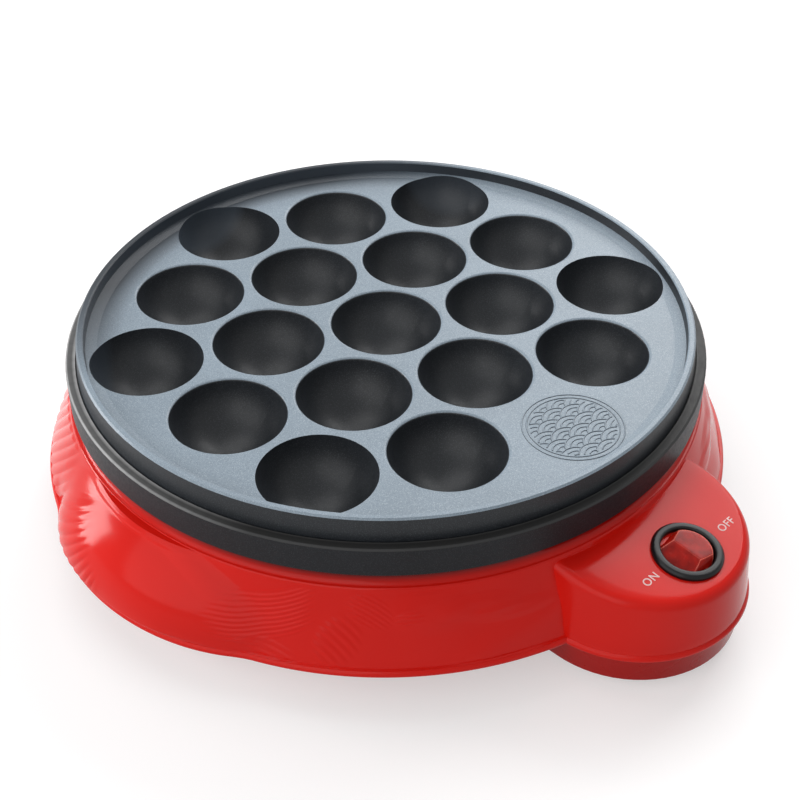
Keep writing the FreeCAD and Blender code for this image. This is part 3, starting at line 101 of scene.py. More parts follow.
class Shader:
    """A material's node tree with short calls for what is made often."""

    def __init__(self, name, **values):
        self.material = bpy.data.materials.new(name)
        self.material.use_nodes = True
        self.tree = self.material.node_tree
        self.shader = self.tree.nodes["Principled BSDF"]
        for key, value in values.items():
            self.shader.inputs[key.replace("_", " ")].default_value = value
        self.place = self.add("ShaderNodeTexCoord").outputs["Object"]

    def add(self, kind, inputs=None, **settings):
        node = self.tree.nodes.new(kind)
        for key, value in settings.items():
            setattr(node, key, value)
        for key, value in (inputs or {}).items():
            if isinstance(value, bpy.types.NodeSocket):
                self.tree.links.new(value, node.inputs[key])
            else:
                node.inputs[key].default_value = value
        return node

    def noise(self, scale, detail):
        inputs = {"Vector": self.place, "Scale": scale, "Detail": detail}
        return self.add("ShaderNodeTexNoise", inputs).outputs["Fac"]

    def cells(self, scale):
        inputs = {"Vector": self.place, "Scale": scale}
        return self.add("ShaderNodeTexVoronoi", inputs).outputs["Distance"]

    def part(self, vector, letter):
        return self.add("ShaderNodeSeparateXYZ", {"Vector": vector}).outputs[letter]

    def upward(self):
        """How far the surface looks up: 1 on a level face, 0 on a wall."""
        return self.part(self.tree.nodes["Texture Coordinate"].outputs["Normal"], "Z")

    def level(self):
        """Height in metres over the table."""
        return self.part(self.place, "Z")

    def behind(self):
        """Distance in metres behind the origin, away from the control box."""
        return self.part(self.place, "Y")

    def rounded(self, radius):
        """Normal of the surface as if its edges were rounded, with a radius in metres."""
        return self.add("ShaderNodeBevel", {"Radius": radius}, samples=8).outputs["Normal"]

    def edges(self, radius):
        """How sharply the surface bends within a radius in metres: 0 on a flat face."""
        soft = self.rounded(radius)
        hard = self.add("ShaderNodeNewGeometry").outputs["Normal"]
        same = self.add("ShaderNodeVectorMath", {0: soft, 1: hard}, operation="DOT_PRODUCT")
        return self.span(same.outputs["Value"], 0.995, 0.95)

    def radius(self):
        """Distance in metres from the cooking plate's axis."""
        flat = self.add("ShaderNodeVectorMath", {0: self.place, 1: (1, 1, 0)}, operation="MULTIPLY")
        axis = (0, PLATE_OFFSET / 1000, 0)
        away = self.add("ShaderNodeVectorMath", {0: flat.outputs[0], 1: axis}, operation="SUBTRACT")
        reach = self.add("ShaderNodeVectorMath", {0: away.outputs[0]}, operation="LENGTH")
        return reach.outputs["Value"]

    def span(self, source, low, high):
        """0 where the source is low and 1 where it is high, with a straight run between."""
        inputs = {"Value": source, "From Min": low, "From Max": high}
        return self.add("ShaderNodeMapRange", inputs).outputs["Result"]

    def product(self, one, other):
        return self.add("ShaderNodeMath", {0: one, 1: other}, operation="MULTIPLY").outputs[0]

    def ramp(self, source, *stops):
        """Colour or grey over a source, from (position, colour) stops."""
        node = self.add("ShaderNodeValToRGB", {"Fac": source})
        elements = node.color_ramp.elements
        while len(elements) < len(stops):
            elements.new(0.5)
        for element, (position, colour) in zip(elements, stops):
            element.position = position
            element.color = (*colour, 1) if isinstance(colour, tuple) else (colour,) * 3 + (1,)
        return node.outputs["Color"]

    def mix(self, factor, one, other):
        """The one colour where the factor is 0 and the other where it is 1."""
        node = self.add("ShaderNodeMix", {"Factor": factor}, data_type="RGBA")
        for socket, value in (("A", one), ("B", other)):
            target = next(i for i in node.inputs if i.name == socket and i.type == "RGBA")
            if isinstance(value, bpy.types.NodeSocket):
                self.tree.links.new(value, target)
            else:
                target.default_value = (*value, 1)
        return next(o for o in node.outputs if o.type == "RGBA")

    def join(self, **links):
        for key, value in links.items():
            self.tree.links.new(value, self.shader.inputs[key.replace("_", " ")])

    def bump(self, *layers, normal=None):
        """Layers of (height, strength, distance in metres), one upon the other, over a normal."""
        for height, strength, distance in layers:
            inputs = {"Height": height, "Strength": strength, "Distance": distance}
            if normal is not None:
                inputs["Normal"] = normal
            normal = self.add("ShaderNodeBump", inputs).outputs["Normal"]
        self.tree.links.new(normal, self.shader.inputs["Normal"])


# heights in metres over which the casing's collar is painted into shade, darkest towards the skirt above
# it
COLLAR_SHADED = ((LIP + 0.2) / 1000, (DECK - 1.2) / 1000)
MOTTLE_STOPS = ((0.35, 0.0), (0.65, 1.0))
# the plate's face is painted pale for light and its walls dark for shade; FACE_UP and FACE_LEVEL set
# where the two meet
FACE_UP = (0.5, 0.68)  # how far the plate's pale face looks up, at its soft edge
FACE_LEVEL = (0.0605, 0.0612)
LEDGE = (0.1075, 0.1117)  # radii of the skirt ring's ledge
LEDGE_UP = (0.45, 0.8)


def moulded_plastic(name, colour, deep, roughness, gloss, painted_shade=None, edge=None):
    """Glossy moulding: a slow drift between two colours, faint flow marks and a fine skin.

    A painted shade colour darkens the casing's collar, where it lies in shade under the skirt, and an
    edge radius makes the edges look rounded.
    """
    look = Shader(name, Specular_IOR_Level=gloss)
    drift = look.ramp(look.noise(14, 3), (0.3, 0.0), (0.7, 1.0))
    base = look.mix(drift, colour, deep)
    if painted_shade:
        # painted shade: the collar darkens upwards, towards the skirt that overhangs it
        collar_shade_mask = look.span(look.level(), *COLLAR_SHADED)
        base = look.mix(collar_shade_mask, base, painted_shade)
    look.join(Base_Color=base)
    look.join(Roughness=look.ramp(look.noise(55, 4), (0.3, roughness * 0.8), (0.7, roughness * 1.3)))
    normal = look.rounded(edge) if edge else None
    look.bump((look.noise(30, 2), 0.06, 0.0004), (look.noise(1400, 2), 0.03, 0.00005), normal=normal)
    return look.material


def speckled(look, ground, fleck, dark):
    """Fine pale flecks and dark pits over a ground colour."""
    flecks = look.ramp(look.cells(2300), (0.16, 1.0), (0.40, 0.0))
    pits = look.ramp(look.noise(3200, 3), (0.52, 0.0), (0.68, 1.0))
    return look.mix(pits, look.mix(flecks, ground, fleck), dark)


def cast_coating(name):
    """Speckled non-stick coating of the plate, with painted light and shade: the level face is painted
    pale for the light that falls on it, the walls and cups dark for shade.

    At the back painted shade darkens the face towards its rim and darkens the rim's top, and painted
    light lifts the rim's walls there to a dark blue-grey.
    """
    look = Shader(name, Specular_IOR_Level=0.3)
    mottle = look.ramp(look.noise(30, 4), *MOTTLE_STOPS)
    ground = look.mix(mottle, (0.232, 0.288, 0.342), (0.205, 0.255, 0.303))
    face = speckled(look, ground, (0.36, 0.42, 0.47), (0.155, 0.195, 0.235))
    ground = look.mix(mottle, (0.016, 0.019, 0.023), (0.012, 0.014, 0.017))
    wall = speckled(look, ground, (0.04, 0.044, 0.05), (0.01, 0.011, 0.013))
    # painted light and shade: the pale face colour where the plate looks up at its face's level, the
    # dark wall colour elsewhere
    on_top = look.product(look.span(look.upward(), *FACE_UP), look.span(look.level(), *FACE_LEVEL))
    # painted shade at the back: the face darkens towards its rim, darkest at the corner with the rim and
    # on the rim's top
    shade = look.product(look.span(look.behind(), 0.05, 0.125), look.span(look.radius(), 0.086, 0.107))
    corner_shade = look.product(look.span(look.behind(), 0.055, 0.1), look.span(look.radius(), 0.092, 0.1))
    top = look.mix(corner_shade, look.mix(shade, face, (0.07, 0.085, 0.105)), (0.02, 0.026, 0.034))
    # painted light at the back: the rim's walls are lighter there than the walls elsewhere
    back_rim_light = look.product(look.span(look.behind(), 0.03, 0.09), look.span(look.radius(), 0.095, 0.098))
    side = look.mix(back_rim_light, wall, (0.035, 0.044, 0.056))
    look.join(Base_Color=look.mix(on_top, side, top))
    look.join(Roughness=look.ramp(look.noise(900, 3), (0.3, 0.34), (0.7, 0.44)))
    look.bump((look.noise(2600, 2), 0.25, 0.00008), (look.noise(60, 2), 0.05, 0.0003))
    return look.material


def ring_enamel(name):
    """Dark enamel of the skirt ring, with painted highlights along both edges of its ledge, bright at
    the back and sides and faint in front.
    """
    look = Shader(name, Specular_IOR_Level=0.15)
    mottle = look.ramp(look.noise(30, 4), *MOTTLE_STOPS)
    ground = look.mix(mottle, (0.013, 0.015, 0.018), (0.010, 0.011, 0.013))
    wall = speckled(look, ground, (0.03, 0.032, 0.036), (0.008, 0.009, 0.010))
    place = look.span(look.radius(), *LEDGE)
    # painted highlights for light caught by the ledge's rounded edges: bright lines, and faint plain
    # ones for the front
    inner_line = ((0.08, 0.12), (0.17, 0.45), (0.3, 0.3), (0.42, 0.12))
    outer_line = ((0.73, 0.14), (0.84, 0.45), (0.97, 0.3))
    painted_glints = look.ramp(place, *inner_line, *outer_line)
    inner_line = ((0.1, 0.02), (0.18, 0.05), (0.3, 0.02))
    outer_line = ((0.74, 0.02), (0.84, 0.05), (0.97, 0.03))
    plain = look.ramp(place, *inner_line, *outer_line)
    patchy = look.ramp(look.noise(300, 3), (0.25, 0.75), (0.6, 1.0))
    # the painted highlights are patchy, and fade out in front
    glint_strength = look.product(look.span(look.behind(), -0.03, 0.03), patchy)
    ledge = look.mix(glint_strength, plain, painted_glints)
    look.join(Base_Color=look.mix(look.span(look.upward(), *LEDGE_UP), wall, ledge))
    look.join(Roughness=look.ramp(look.noise(900, 3), (0.3, 0.4), (0.7, 0.52)))
    look.bump((look.noise(2600, 2), 0.2, 0.00006), (look.noise(60, 2), 0.05, 0.0003))
    return look.material


def metal(name, colour, roughness, scale=400.0):
    look = Shader(name, Metallic=1.0)
    tint = tuple(c * 0.8 for c in colour)
    look.join(Base_Color=look.mix(look.noise(60, 3), colour, tint))
    look.join(Roughness=look.ramp(look.noise(scale, 3), (0.3, roughness * 0.7), (0.7, roughness * 1.4)))
    look.bump((look.noise(scale * 3, 2), 0.1, 0.00005))
    return look.material


def soft_matte(name, colour, roughness, bump=0.2):
    look = Shader(name)
    look.join(Base_Color=look.mix(look.noise(90, 4), colour, tuple(c * 0.7 for c in colour)))
    look.join(Roughness=look.ramp(look.noise(300, 3), (0.3, roughness * 0.85), (0.7, roughness * 1.1)))
    look.bump((look.noise(1800, 3), bump, 0.0001))
    return look.material


def lit_red(name):
    """Translucent red rocker moulding, with painted highlights that make its edges pale."""
    look = Shader(name, Specular_IOR_Level=0.14)
    mottle = look.ramp(look.noise(260, 3), *MOTTLE_STOPS)
    body = look.mix(mottle, (0.40, 0.010, 0.005), (0.22, 0.004, 0.002))
    # painted highlight: where the surface bends at its edges it is mixed towards pale pink
    look.join(Base_Color=look.mix(look.edges(0.0007), body, (0.95, 0.22, 0.17)))
    look.join(Roughness=look.ramp(look.noise(500, 2), (0.3, 0.18), (0.7, 0.3)))
    look.bump((look.noise(700, 2), 0.06, 0.00008), normal=look.rounded(0.0016))
    return look.material


# the casing's red, with its collar painted into shade
RED = moulded_plastic(
    "red_moulding", (0.66, 0.011, 0.006), (0.60, 0.009, 0.005), 0.15, 0.13, painted_shade=(0.13, 0.003, 0.002)
)
DEEP_RED = moulded_plastic("deep_red_moulding", (0.40, 0.007, 0.005), (0.34, 0.006, 0.004), 0.25, 0.1)
COATING = cast_coating("speckled_coating")
ENAMEL = ring_enamel("dark_enamel")
BLACK = moulded_plastic(
    "black_moulding", (0.006, 0.006, 0.007), (0.009, 0.009, 0.010), 0.2, 0.2, edge=0.001
)
RUBBER = soft_matte("black_rubber", (0.02, 0.02, 0.021), 0.7)
STEEL = metal("zinc_steel", (0.62, 0.62, 0.6), 0.3)
SHEET = metal("bright_sheet", (0.8, 0.8, 0.82), 0.22, 150.0)
SHEATH = metal("dull_sheath", (0.2, 0.19, 0.18), 0.5)
BRASS = metal("brass", (0.75, 0.55, 0.25), 0.3)
CERAMIC = soft_matte("ceramic", (0.8, 0.78, 0.72), 0.6, 0.1)
NATURAL = soft_matte("natural_nylon", (0.75, 0.74, 0.7), 0.45, 0.08)
INK = soft_matte("pale_ink", (0.86, 0.66, 0.64), 0.5, 0.05)
ROCKER_RED = lit_red("translucent_red")

SLEEVES = {
    "lead_live": (0.13, 0.05, 0.02),
    "lead_switched": (0.7, 0.7, 0.68),
    "lead_heater": (0.7, 0.7, 0.68),
    "lead_neutral": (0.02, 0.06, 0.35),
    "lead_earth": (0.25, 0.35, 0.03),
}

NODE_MATERIALS = {
    "cooking_plate": COATING,
    "skirt_ring": ENAMEL,
    "upper_casing": RED,
    "bottom_cover": DEEP_RED,
    "rubber_feet": RUBBER,
    "cord_grommet": RUBBER,
    "reflector_pan": SHEET,
    "heating_element": SHEATH,
    "element_bushes": CERAMIC,
    "thermostat": SHEET,
    "switch_housing": BLACK,
    "rocker": ROCKER_RED,
    "contact_plunger": BLACK,
    "terminal_block": NATURAL,
    "neon_lamp": CERAMIC,
}
BRASSES = ("earth_tag", "earth_screw", "contact_bridge", "switch_terminals", "block_sleeves")


def dress_nodes():
    """Each of the part's nodes in its material; what isn't named is zinc-plated steel."""
    for name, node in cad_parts.items():
        if name in SLEEVES:
            material = soft_matte("sleeve_" + name, SLEEVES[name], 0.5, 0.1)
        elif name in BRASSES:
            material = BRASS
        else:
            material = NODE_MATERIALS.get(name, STEEL)
        node.data.materials.clear()
        node.data.materials.append(material)


# ---------------------------------------------------------------- meshes

SHARP_ANGLE = math.radians(32)


def new_object(name, verts, faces, material):
    mesh = bpy.data.meshes.new(name)
    mesh.from_pydata([point(*v) for v in verts], [], faces)
    mesh.validate()
    mesh.materials.append(material)
    obj = bpy.data.objects.new(name, mesh)
    bpy.context.scene.collection.objects.link(obj)
    tidy_normals(obj)
    return obj


def tidy_normals(obj):
    """Normals outward, and smooth shading but for sharp edges."""
    work = bmesh.new()
    work.from_mesh(obj.data)
    bmesh.ops.recalc_face_normals(work, faces=work.faces)
    work.to_mesh(obj.data)
    work.free()
    obj.data.polygons.foreach_set("use_smooth", [True] * len(obj.data.polygons))
    obj.data.set_sharp_from_angle(angle=SHARP_ANGLE)


def ring_faces(columns, rows):
    """Quads of a grid that closes on itself round the columns and along the rows."""
    faces = []
    for i in range(columns):
        j = (i + 1) % columns
        for k in range(rows):
            m = (k + 1) % rows
            faces.append((i * rows + k, j * rows + k, j * rows + m, i * rows + m))
    return faces


def smooth_step(low, high, x):
    t = np.clip((x - low) / (high - low), 0.0, 1.0)
    return t * t * (3 - 2 * t)


def window(x, low, high, fade):
    """1 between low and high and 0 outside, with a soft edge of the fade to both sides."""
    return smooth_step(low - fade, low + fade, x) * (1 - smooth_step(high - fade, high + fade, x))


def quarter(steps):
    """Angles of a quarter turn in even steps, without its start."""
    return np.linspace(0, math.pi / 2, steps + 1)[1:]


# ---------------------------------------------------------------- base casing

WALL_COLUMNS = 1800
WALL_ROWS = 104
INSIDE_ROWS = 12
LIP_STEPS = 4
COVE_STEPS = 8
LIP_ROUND = 0.35
COLLAR_EDGE = (0.3, 0.6)  # how far the bevel at the collar's top goes in and down
HEM_BEAD = (  # outset from the wall and height over the seam: a half-round bead, then a groove
    (HEM_PROUD * 0.3, 0.0),
    (HEM_PROUD * 0.75, 0.15),
    (HEM_PROUD, 0.5),
    (HEM_PROUD, 0.95),
    (HEM_PROUD * 0.8, 1.35),
    (HEM_PROUD * 0.4, 1.7),
    (0.0, HEM_HIGH),
    (-0.14, HEM_HIGH + 0.2),
    (-0.03, HEM_HIGH + 0.5),
)
ARC = math.pi / 180 * 120.0  # millimetres along the wall for one degree


def plain_radius(z):
    """Outside of the flared ring, without handles."""
    return HEM_OUTER - (z - SEAM) * SLANT


def dome_radius(angle, z):
    """Distance from the plate's axis to a handle's dome, or 0 where it isn't."""
    spread = 1 - ((z - SEAM) / SHELL_RISE) ** 2
    cx, cy = np.abs(np.cos(angle)) / SHELL_REACH, np.sin(angle) / SHELL_HALF_WIDTH
    middle = SHELL_CENTRE / SHELL_REACH
    a = cx**2 + cy**2
    b = -2 * middle * cx
    c = middle**2 - spread
    root = b * b - 4 * a * c
    return np.where(root > 0, (-b + np.sqrt(np.maximum(root, 0))) / (2 * a), 0.0)


# The relief. Places on the wall are degrees round the axis, anticlockwise from +X, and millimetres
# of height. The three numbers of a field are the two ends of a window and its fade.
RELIEF_FROM = (SEAM + 1.5, SEAM + 3.5)
RELIEF_TO = (LIP - 2.5, LIP - 1)

BACK_FIELD = (116, 157, 3)  # slanting ribs behind a handle
RIB_PITCH = 6.0
RIB_SLANT = 1.1  # how far a rib moves along the wall for each millimetre of height
RIB_HEIGHT = 0.5
FIELD_SWELL = 0.8  # how far the field under the ribs swells at the seam

SCALLOP = (179.0, 14.0)
SCALLOP_HALF = (23.2 * ARC, 28.5)
SCALLOP_FADE = (184, 204)  # degrees over which the scallop dies away in front
SCALLOP_RIM = (0.94, 1.2)  # shares of its reach between which it blends into the wall
PILLOW = 2.6  # how far the scallop swells from its edge to its middle
PILLOW_FLAT = 0.45  # share of the scallop's reach that stays level
GROOVE = 1.1  # how far its edge is sunk

HINGE = (185.0, 56.0)  # where the handle shell's flutes meet, over the lip
FLUTE_FIELD = (-168, -114, 5)  # directions from the hinge, in degrees
FLUTE_REACH = (36, 80, 4)
FLUTE_PITCH = 4.2  # degrees
FLUTE_HEIGHT = 0.4
FLUTE_SHARPNESS = 0.8
FLUTE_END = (0.9, 1.0)  # shares of the scallop's reach between which the flutes die away

COMB_FIELD = (198, 213, 3)
COMB_LEVELS = (22, 37, 2)
COMB_PITCH = 1.5
COMB_HEIGHT = 0.17
COMB_SAG = 0.045  # millimetres for each squared degree past COMB_SAG_FROM
COMB_SAG_FROM = 200

STROKE_FADE = (0.55, 1.0)  # shares of an oval patch between which its strokes die away
STROKE_BOW = 0.012  # millimetres that a stroke bows for each squared millimetre of its run
FEATHERS = (  # centre, heading in degrees, half length, half width, pitch, height
    ((217.0, 26.5), -40, 8.5, 11.0, 2.5, 0.30),
    ((222.0, 36.5), -28, 9.5, 6.0, 1.5, 0.2),
    ((206.5, 21.5), -12, 13.0, 4.0, 2.2, 0.2),
    ((228.0, 34.5), 8, 5.5, 3.5, 1.4, 0.16),
)
PETALS = (  # centre, half length and half width, height
    ((231.0, 36.0), (12.0, 6.3), 0.6),
    ((239.0, 35.5), (13.0, 3.6), 0.5),
    ((244.0, 32.5), (14.0, 2.6), 0.4),
)
PETAL_EDGE = 0.6  # share of a petal's half size over which it fades

CREST_FIELD = (236, 266, 5)
CREST_START = (234, 18)
CREST_CLIMB = 0.55  # millimetres for each degree
CREST_WIDTH = 5.5
CREST_HEIGHT = 0.7


def waves(x, pitch):
    """Even waves between 0 and 1."""
    return 0.5 + 0.5 * np.cos(2 * math.pi * x / pitch)


def ridges(x, pitch):
    """Round ribs with sharp valleys between them, from 0 to 1."""
    return np.abs(np.cos(math.pi * x / pitch))


def strokes(run, z, centre, heading, half_length, half_width, pitch, height):
    """Parallel soft strokes in an oval patch, running along a heading in degrees."""
    turn = math.radians(heading)
    ds, dz = run - centre[0] * ARC, z - centre[1]
    along = ds * math.cos(turn) + dz * math.sin(turn)
    across = dz * math.cos(turn) - ds * math.sin(turn)
    patch = 1 - smooth_step(*STROKE_FADE, np.hypot(along / half_length, across / half_width))
    bowed = across + STROKE_BOW * along**2
    return height * patch * waves(bowed, pitch)


def oval_reach(run, z, centre, half):
    """Distance from an oval's centre on the wall, as a share of the oval's half size."""
    return np.hypot((run - centre[0] * ARC) / half[0], (z - centre[1]) / half[1])


def petal(run, z, centre, half, height):
    """Low oval swelling with a soft edge."""
    reach = oval_reach(run, z, centre, half)
    return height * (1 - smooth_step(1 - PETAL_EDGE, 1 + PETAL_EDGE / 2, reach))


def flutes(run, z):
    """Ribs that spread from the hinge over a range of directions and of reach."""
    ds, dz = run - HINGE[0] * ARC, z - HINGE[1]
    heading = np.degrees(np.arctan2(dz, ds))
    mask = window(heading, *FLUTE_FIELD) * window(np.hypot(ds, dz), *FLUTE_REACH)
    return FLUTE_HEIGHT * mask * ridges(heading, FLUTE_PITCH) ** FLUTE_SHARPNESS


def handle_shell(degrees, run, z):
    """Raised scallop on a handle, with flutes that run down to its sunk edge."""
    reach = oval_reach(run, z, SCALLOP, SCALLOP_HALF)
    front = 1 - smooth_step(*SCALLOP_FADE, degrees)
    slope = 1 - PILLOW_FLAT
    pillow = PILLOW * (1 - (np.clip(reach - PILLOW_FLAT, 0, slope) / slope) ** 2) - GROOVE
    inside = 1 - smooth_step(*SCALLOP_RIM, reach)
    return front * inside * (pillow + flutes(run, z) * (1 - smooth_step(*FLUTE_END, reach)))


def back_shell(degrees, run, z):
    """Broad slanting ribs on a low swelling, behind a handle."""
    ribs = ridges(run - (z - SEAM) * RIB_SLANT, RIB_PITCH)
    swell = FIELD_SWELL * smooth_step(LIP, SEAM, z)
    return window(degrees, *BACK_FIELD) * (swell + RIB_HEIGHT * ribs)


def front_waves(degrees, run, z):
    """Sagging combed lines, feather strokes, petals and a rising crest on the front wall."""
    sag = COMB_SAG * np.maximum(degrees - COMB_SAG_FROM, 0) ** 2
    field = window(degrees, *COMB_FIELD) * window(z - sag, *COMB_LEVELS)
    total = COMB_HEIGHT * waves(z - sag, COMB_PITCH) * field
    for feather in FEATHERS:
        total += strokes(run, z, *feather)
    for shape in PETALS:
        total += petal(run, z, *shape)
    crest = z - (CREST_START[1] + (degrees - CREST_START[0]) * CREST_CLIMB)
    wave = np.exp(-((crest / CREST_WIDTH) ** 2))
    return total + CREST_HEIGHT * wave * window(degrees, *CREST_FIELD)


def relief(degrees, z):
    """Height of the moulded relief over the plain wall, at angles on the left side."""
    run = degrees * ARC
    between = smooth_step(*RELIEF_FROM, z) * (1 - smooth_step(*RELIEF_TO, z))
    total = back_shell(degrees, run, z) + handle_shell(degrees, run, z) + front_waves(degrees, run, z)
    return total * between


def wall_radius(angle, z):
    """Outside of the casing wall: the flared ring, the handles blended in, and the relief."""
    plain, dome = plain_radius(z), dome_radius(angle, z)
    short = np.maximum(HANDLE_BLEND - np.abs(plain - dome), 0)
    joined = np.maximum(plain, dome) + short**2 / (4 * HANDLE_BLEND)
    degrees = np.degrees(angle) % 360
    left = np.where(degrees < 90, 180 - degrees, np.where(degrees > 270, 540 - degrees, degrees))
    return joined + relief(left, z)


def casing_wall():
    """Closed shell of the round casing: hem, wall with relief, lip, collar, deck and inside."""
    angle = np.linspace(0, 2 * math.pi, WALL_COLUMNS, endpoint=False)
    columns = []

    def add(radius, z):
        columns.append((radius + np.zeros_like(angle), np.full_like(angle, z)))

    wall = wall_radius(angle, SEAM + np.zeros_like(angle))
    for outset, z in HEM_BEAD:
        add(wall + outset, SEAM + z)
    for z in np.linspace(WALL_FROM, LIP - LIP_ROUND, WALL_ROWS):
        add(wall_radius(angle, np.full_like(angle, z)), z)
    for turn in quarter(LIP_STEPS):
        add(LIP_OUTER - LIP_ROUND * (1 - math.cos(turn)), LIP - LIP_ROUND * (1 - math.sin(turn)))
    cove = DECK - COLLAR_EDGE[1] - LIP
    ledge = LIP_OUTER - LIP_ROUND - COLLAR_OUTER
    for turn in quarter(COVE_STEPS):
        add(COLLAR_OUTER + ledge * (1 - math.sin(turn)), LIP + cove * (1 - math.cos(turn)))
    for radius, z in (
        (COLLAR_OUTER - COLLAR_EDGE[0], DECK),
        (DECK_HOLE, DECK),
        (DECK_HOLE, DECK - WALL),
        (COLLAR_OUTER - WALL, DECK - WALL),
        (COLLAR_OUTER - WALL, LIP - WALL),
    ):
        add(radius, z)
    for z in np.linspace(LIP - WALL, SEAM, INSIDE_ROWS):
        add(np.maximum(plain_radius(z), dome_radius(angle, np.full_like(angle, z))) - WALL, z)
    radii = np.stack([c[0] for c in columns], 1)
    heights = np.stack([c[1] for c in columns], 1)
    x, y = radii * np.cos(angle)[:, None], radii * np.sin(angle)[:, None]
    verts = np.stack([x, y, heights], 2).reshape(-1, 3)
    return new_object("casing_wall", verts.tolist(), ring_faces(WALL_COLUMNS, len(columns)), RED)


NOSE_STEPS = 72
SIDE_STEPS = 8
BOX_ROWS = 9
BOX_EDGE_STEPS = 8
BOX_TOP_STEPS = 6


def box_outline():
    """Plan of the control box at the seam: points and outward normals, from left back round."""
    points, normals = [], []
    for y in np.linspace(-BOX_BACK, -NOSE_CENTRE, SIDE_STEPS, endpoint=False):
        points.append((-NOSE_RADIUS, y))
        normals.append((-1.0, 0.0))
    for turn in np.linspace(math.pi, 2 * math.pi, NOSE_STEPS + 1):
        normal = (math.cos(turn), math.sin(turn))
        points.append((NOSE_RADIUS * normal[0], -NOSE_CENTRE + NOSE_RADIUS * normal[1]))
        normals.append(normal)
    for y in np.linspace(-NOSE_CENTRE, -BOX_BACK, SIDE_STEPS + 1)[1:]:
        points.append((NOSE_RADIUS, y))
        normals.append((1.0, 0.0))
    return points, normals


def top_level(y):
    """Level of the sloping box top."""
    return BOX_TOP + (y + BOX_TOP_FROM) * math.tan(BOX_SLOPE)


def box_profile(px, py, nx, ny):
    """Section of the control box's shell at a point of its plan, from the hem to the inside."""
    profile = []

    def at(inset, z):
        profile.append((px - nx * inset, py - ny * inset, z))

    def on_top(inset, drop):
        x, y = px - nx * inset, py - ny * inset
        profile.append((x, y, top_level(y) - drop))

    for outset, z in HEM_BEAD:
        at(-outset + z * BOX_DRAFT, SEAM + z)
    high = top_level(py - ny * BOX_EDGE) - BOX_EDGE
    for z in np.linspace(WALL_FROM, high, BOX_ROWS):
        at((z - SEAM) * BOX_DRAFT, z)
    lean = (high - SEAM) * BOX_DRAFT
    for turn in quarter(BOX_EDGE_STEPS):
        on_top(lean + BOX_EDGE * (1 - math.cos(turn)), BOX_EDGE * (1 - math.sin(turn)))
    edge = profile[-1]
    heading = math.atan2(edge[1] + SWITCH_REACH, edge[0])
    hole = (SWITCH_HOLE * math.cos(heading), -SWITCH_REACH + SWITCH_HOLE * math.sin(heading))
    for share in np.linspace(0, 1, BOX_TOP_STEPS + 1)[1:]:
        x = edge[0] + (hole[0] - edge[0]) * share
        y = edge[1] + (hole[1] - edge[1]) * share
        profile.append((x, y, top_level(y)))
    profile.append((*hole, top_level(hole[1]) - WALL))
    on_top(BOX_EDGE + WALL, WALL)
    at(WALL, SEAM)
    return profile


def control_box():
    """Closed shell of the control box, with the round opening for the switch."""
    profiles = [box_profile(*place, *normal) for place, normal in zip(*box_outline())]
    verts = [vert for profile in profiles for vert in profile]
    return new_object("control_box", verts, ring_faces(len(profiles), len(profiles[0])), RED)


TURRET_COLUMNS = 64


def cord_turret():
    """Short tube round the cord's grommet at the back."""
    place = Matrix.Translation((0, TURRET_REACH, TURRET_LEVEL)) @ Matrix.Rotation(-math.pi / 2, 4, "X")
    profile = (
        (TURRET_HOLE, 0),
        (TURRET_OUTER - TURRET_CHAMFER, 0),
        (TURRET_OUTER, -TURRET_CHAMFER),
        (TURRET_OUTER, -TURRET_LENGTH),
        (TURRET_HOLE, -TURRET_LENGTH),
    )
    verts = []
    for i in range(TURRET_COLUMNS):
        turn = 2 * math.pi * i / TURRET_COLUMNS
        for radius, z in profile:
            spot = Vector((radius * math.cos(turn), radius * math.sin(turn), z))
            verts.append(tuple(place @ spot))
    return new_object("cord_turret", verts, ring_faces(TURRET_COLUMNS, len(profile)), RED)


# ---------------------------------------------------------------- lettering and the plate's motif

LETTER_SIZE = 3.9
LETTER_SPACING = 1.12
LETTER_THICK = 0.06
LETTER_LIFT = 0.05
LETTERS = (  # name, word and place, counted from the switch's middle
    ("letters_on", "ON", -17.5, 0.9),
    ("letters_off", "OFF", 19.35, -1.4),
)


def switch_place(x, y, z):
    """Matrix of a spot on the sloping box top, with Z out of it."""
    middle = Matrix.Translation(point(0, -SWITCH_REACH, SWITCH_LEVEL))
    tilt = middle @ Matrix.Rotation(BOX_SLOPE, 4, "X")
    return tilt @ Matrix.Translation((x / 1000, y / 1000, z / 1000))


def lettering(name, text, x, y):
    """A printed word on the box top, at a place counted from the switch's middle."""
    curve = bpy.data.curves.new(name, "FONT")
    curve.body = text
    curve.size = LETTER_SIZE / 1000
    curve.align_x = "CENTER"
    curve.align_y = "CENTER"
    curve.space_character = LETTER_SPACING
    curve.extrude = LETTER_THICK / 1000
    curve.materials.append(INK)
    obj = bpy.data.objects.new(name, curve)
    bpy.context.scene.collection.objects.link(obj)
    obj.matrix_world = switch_place(x, y, LETTER_LIFT)
    return obj


BEAD_WIDTH = 0.55
BEAD_HEIGHT = 0.28
BEAD_SUNK = 0.05  # how far a bead's foot lies in the plate
BEAD_SECTION = ((-0.5, 0.0), (-0.3, 0.75), (0.0, 1.0), (0.3, 0.75), (0.5, 0.0))


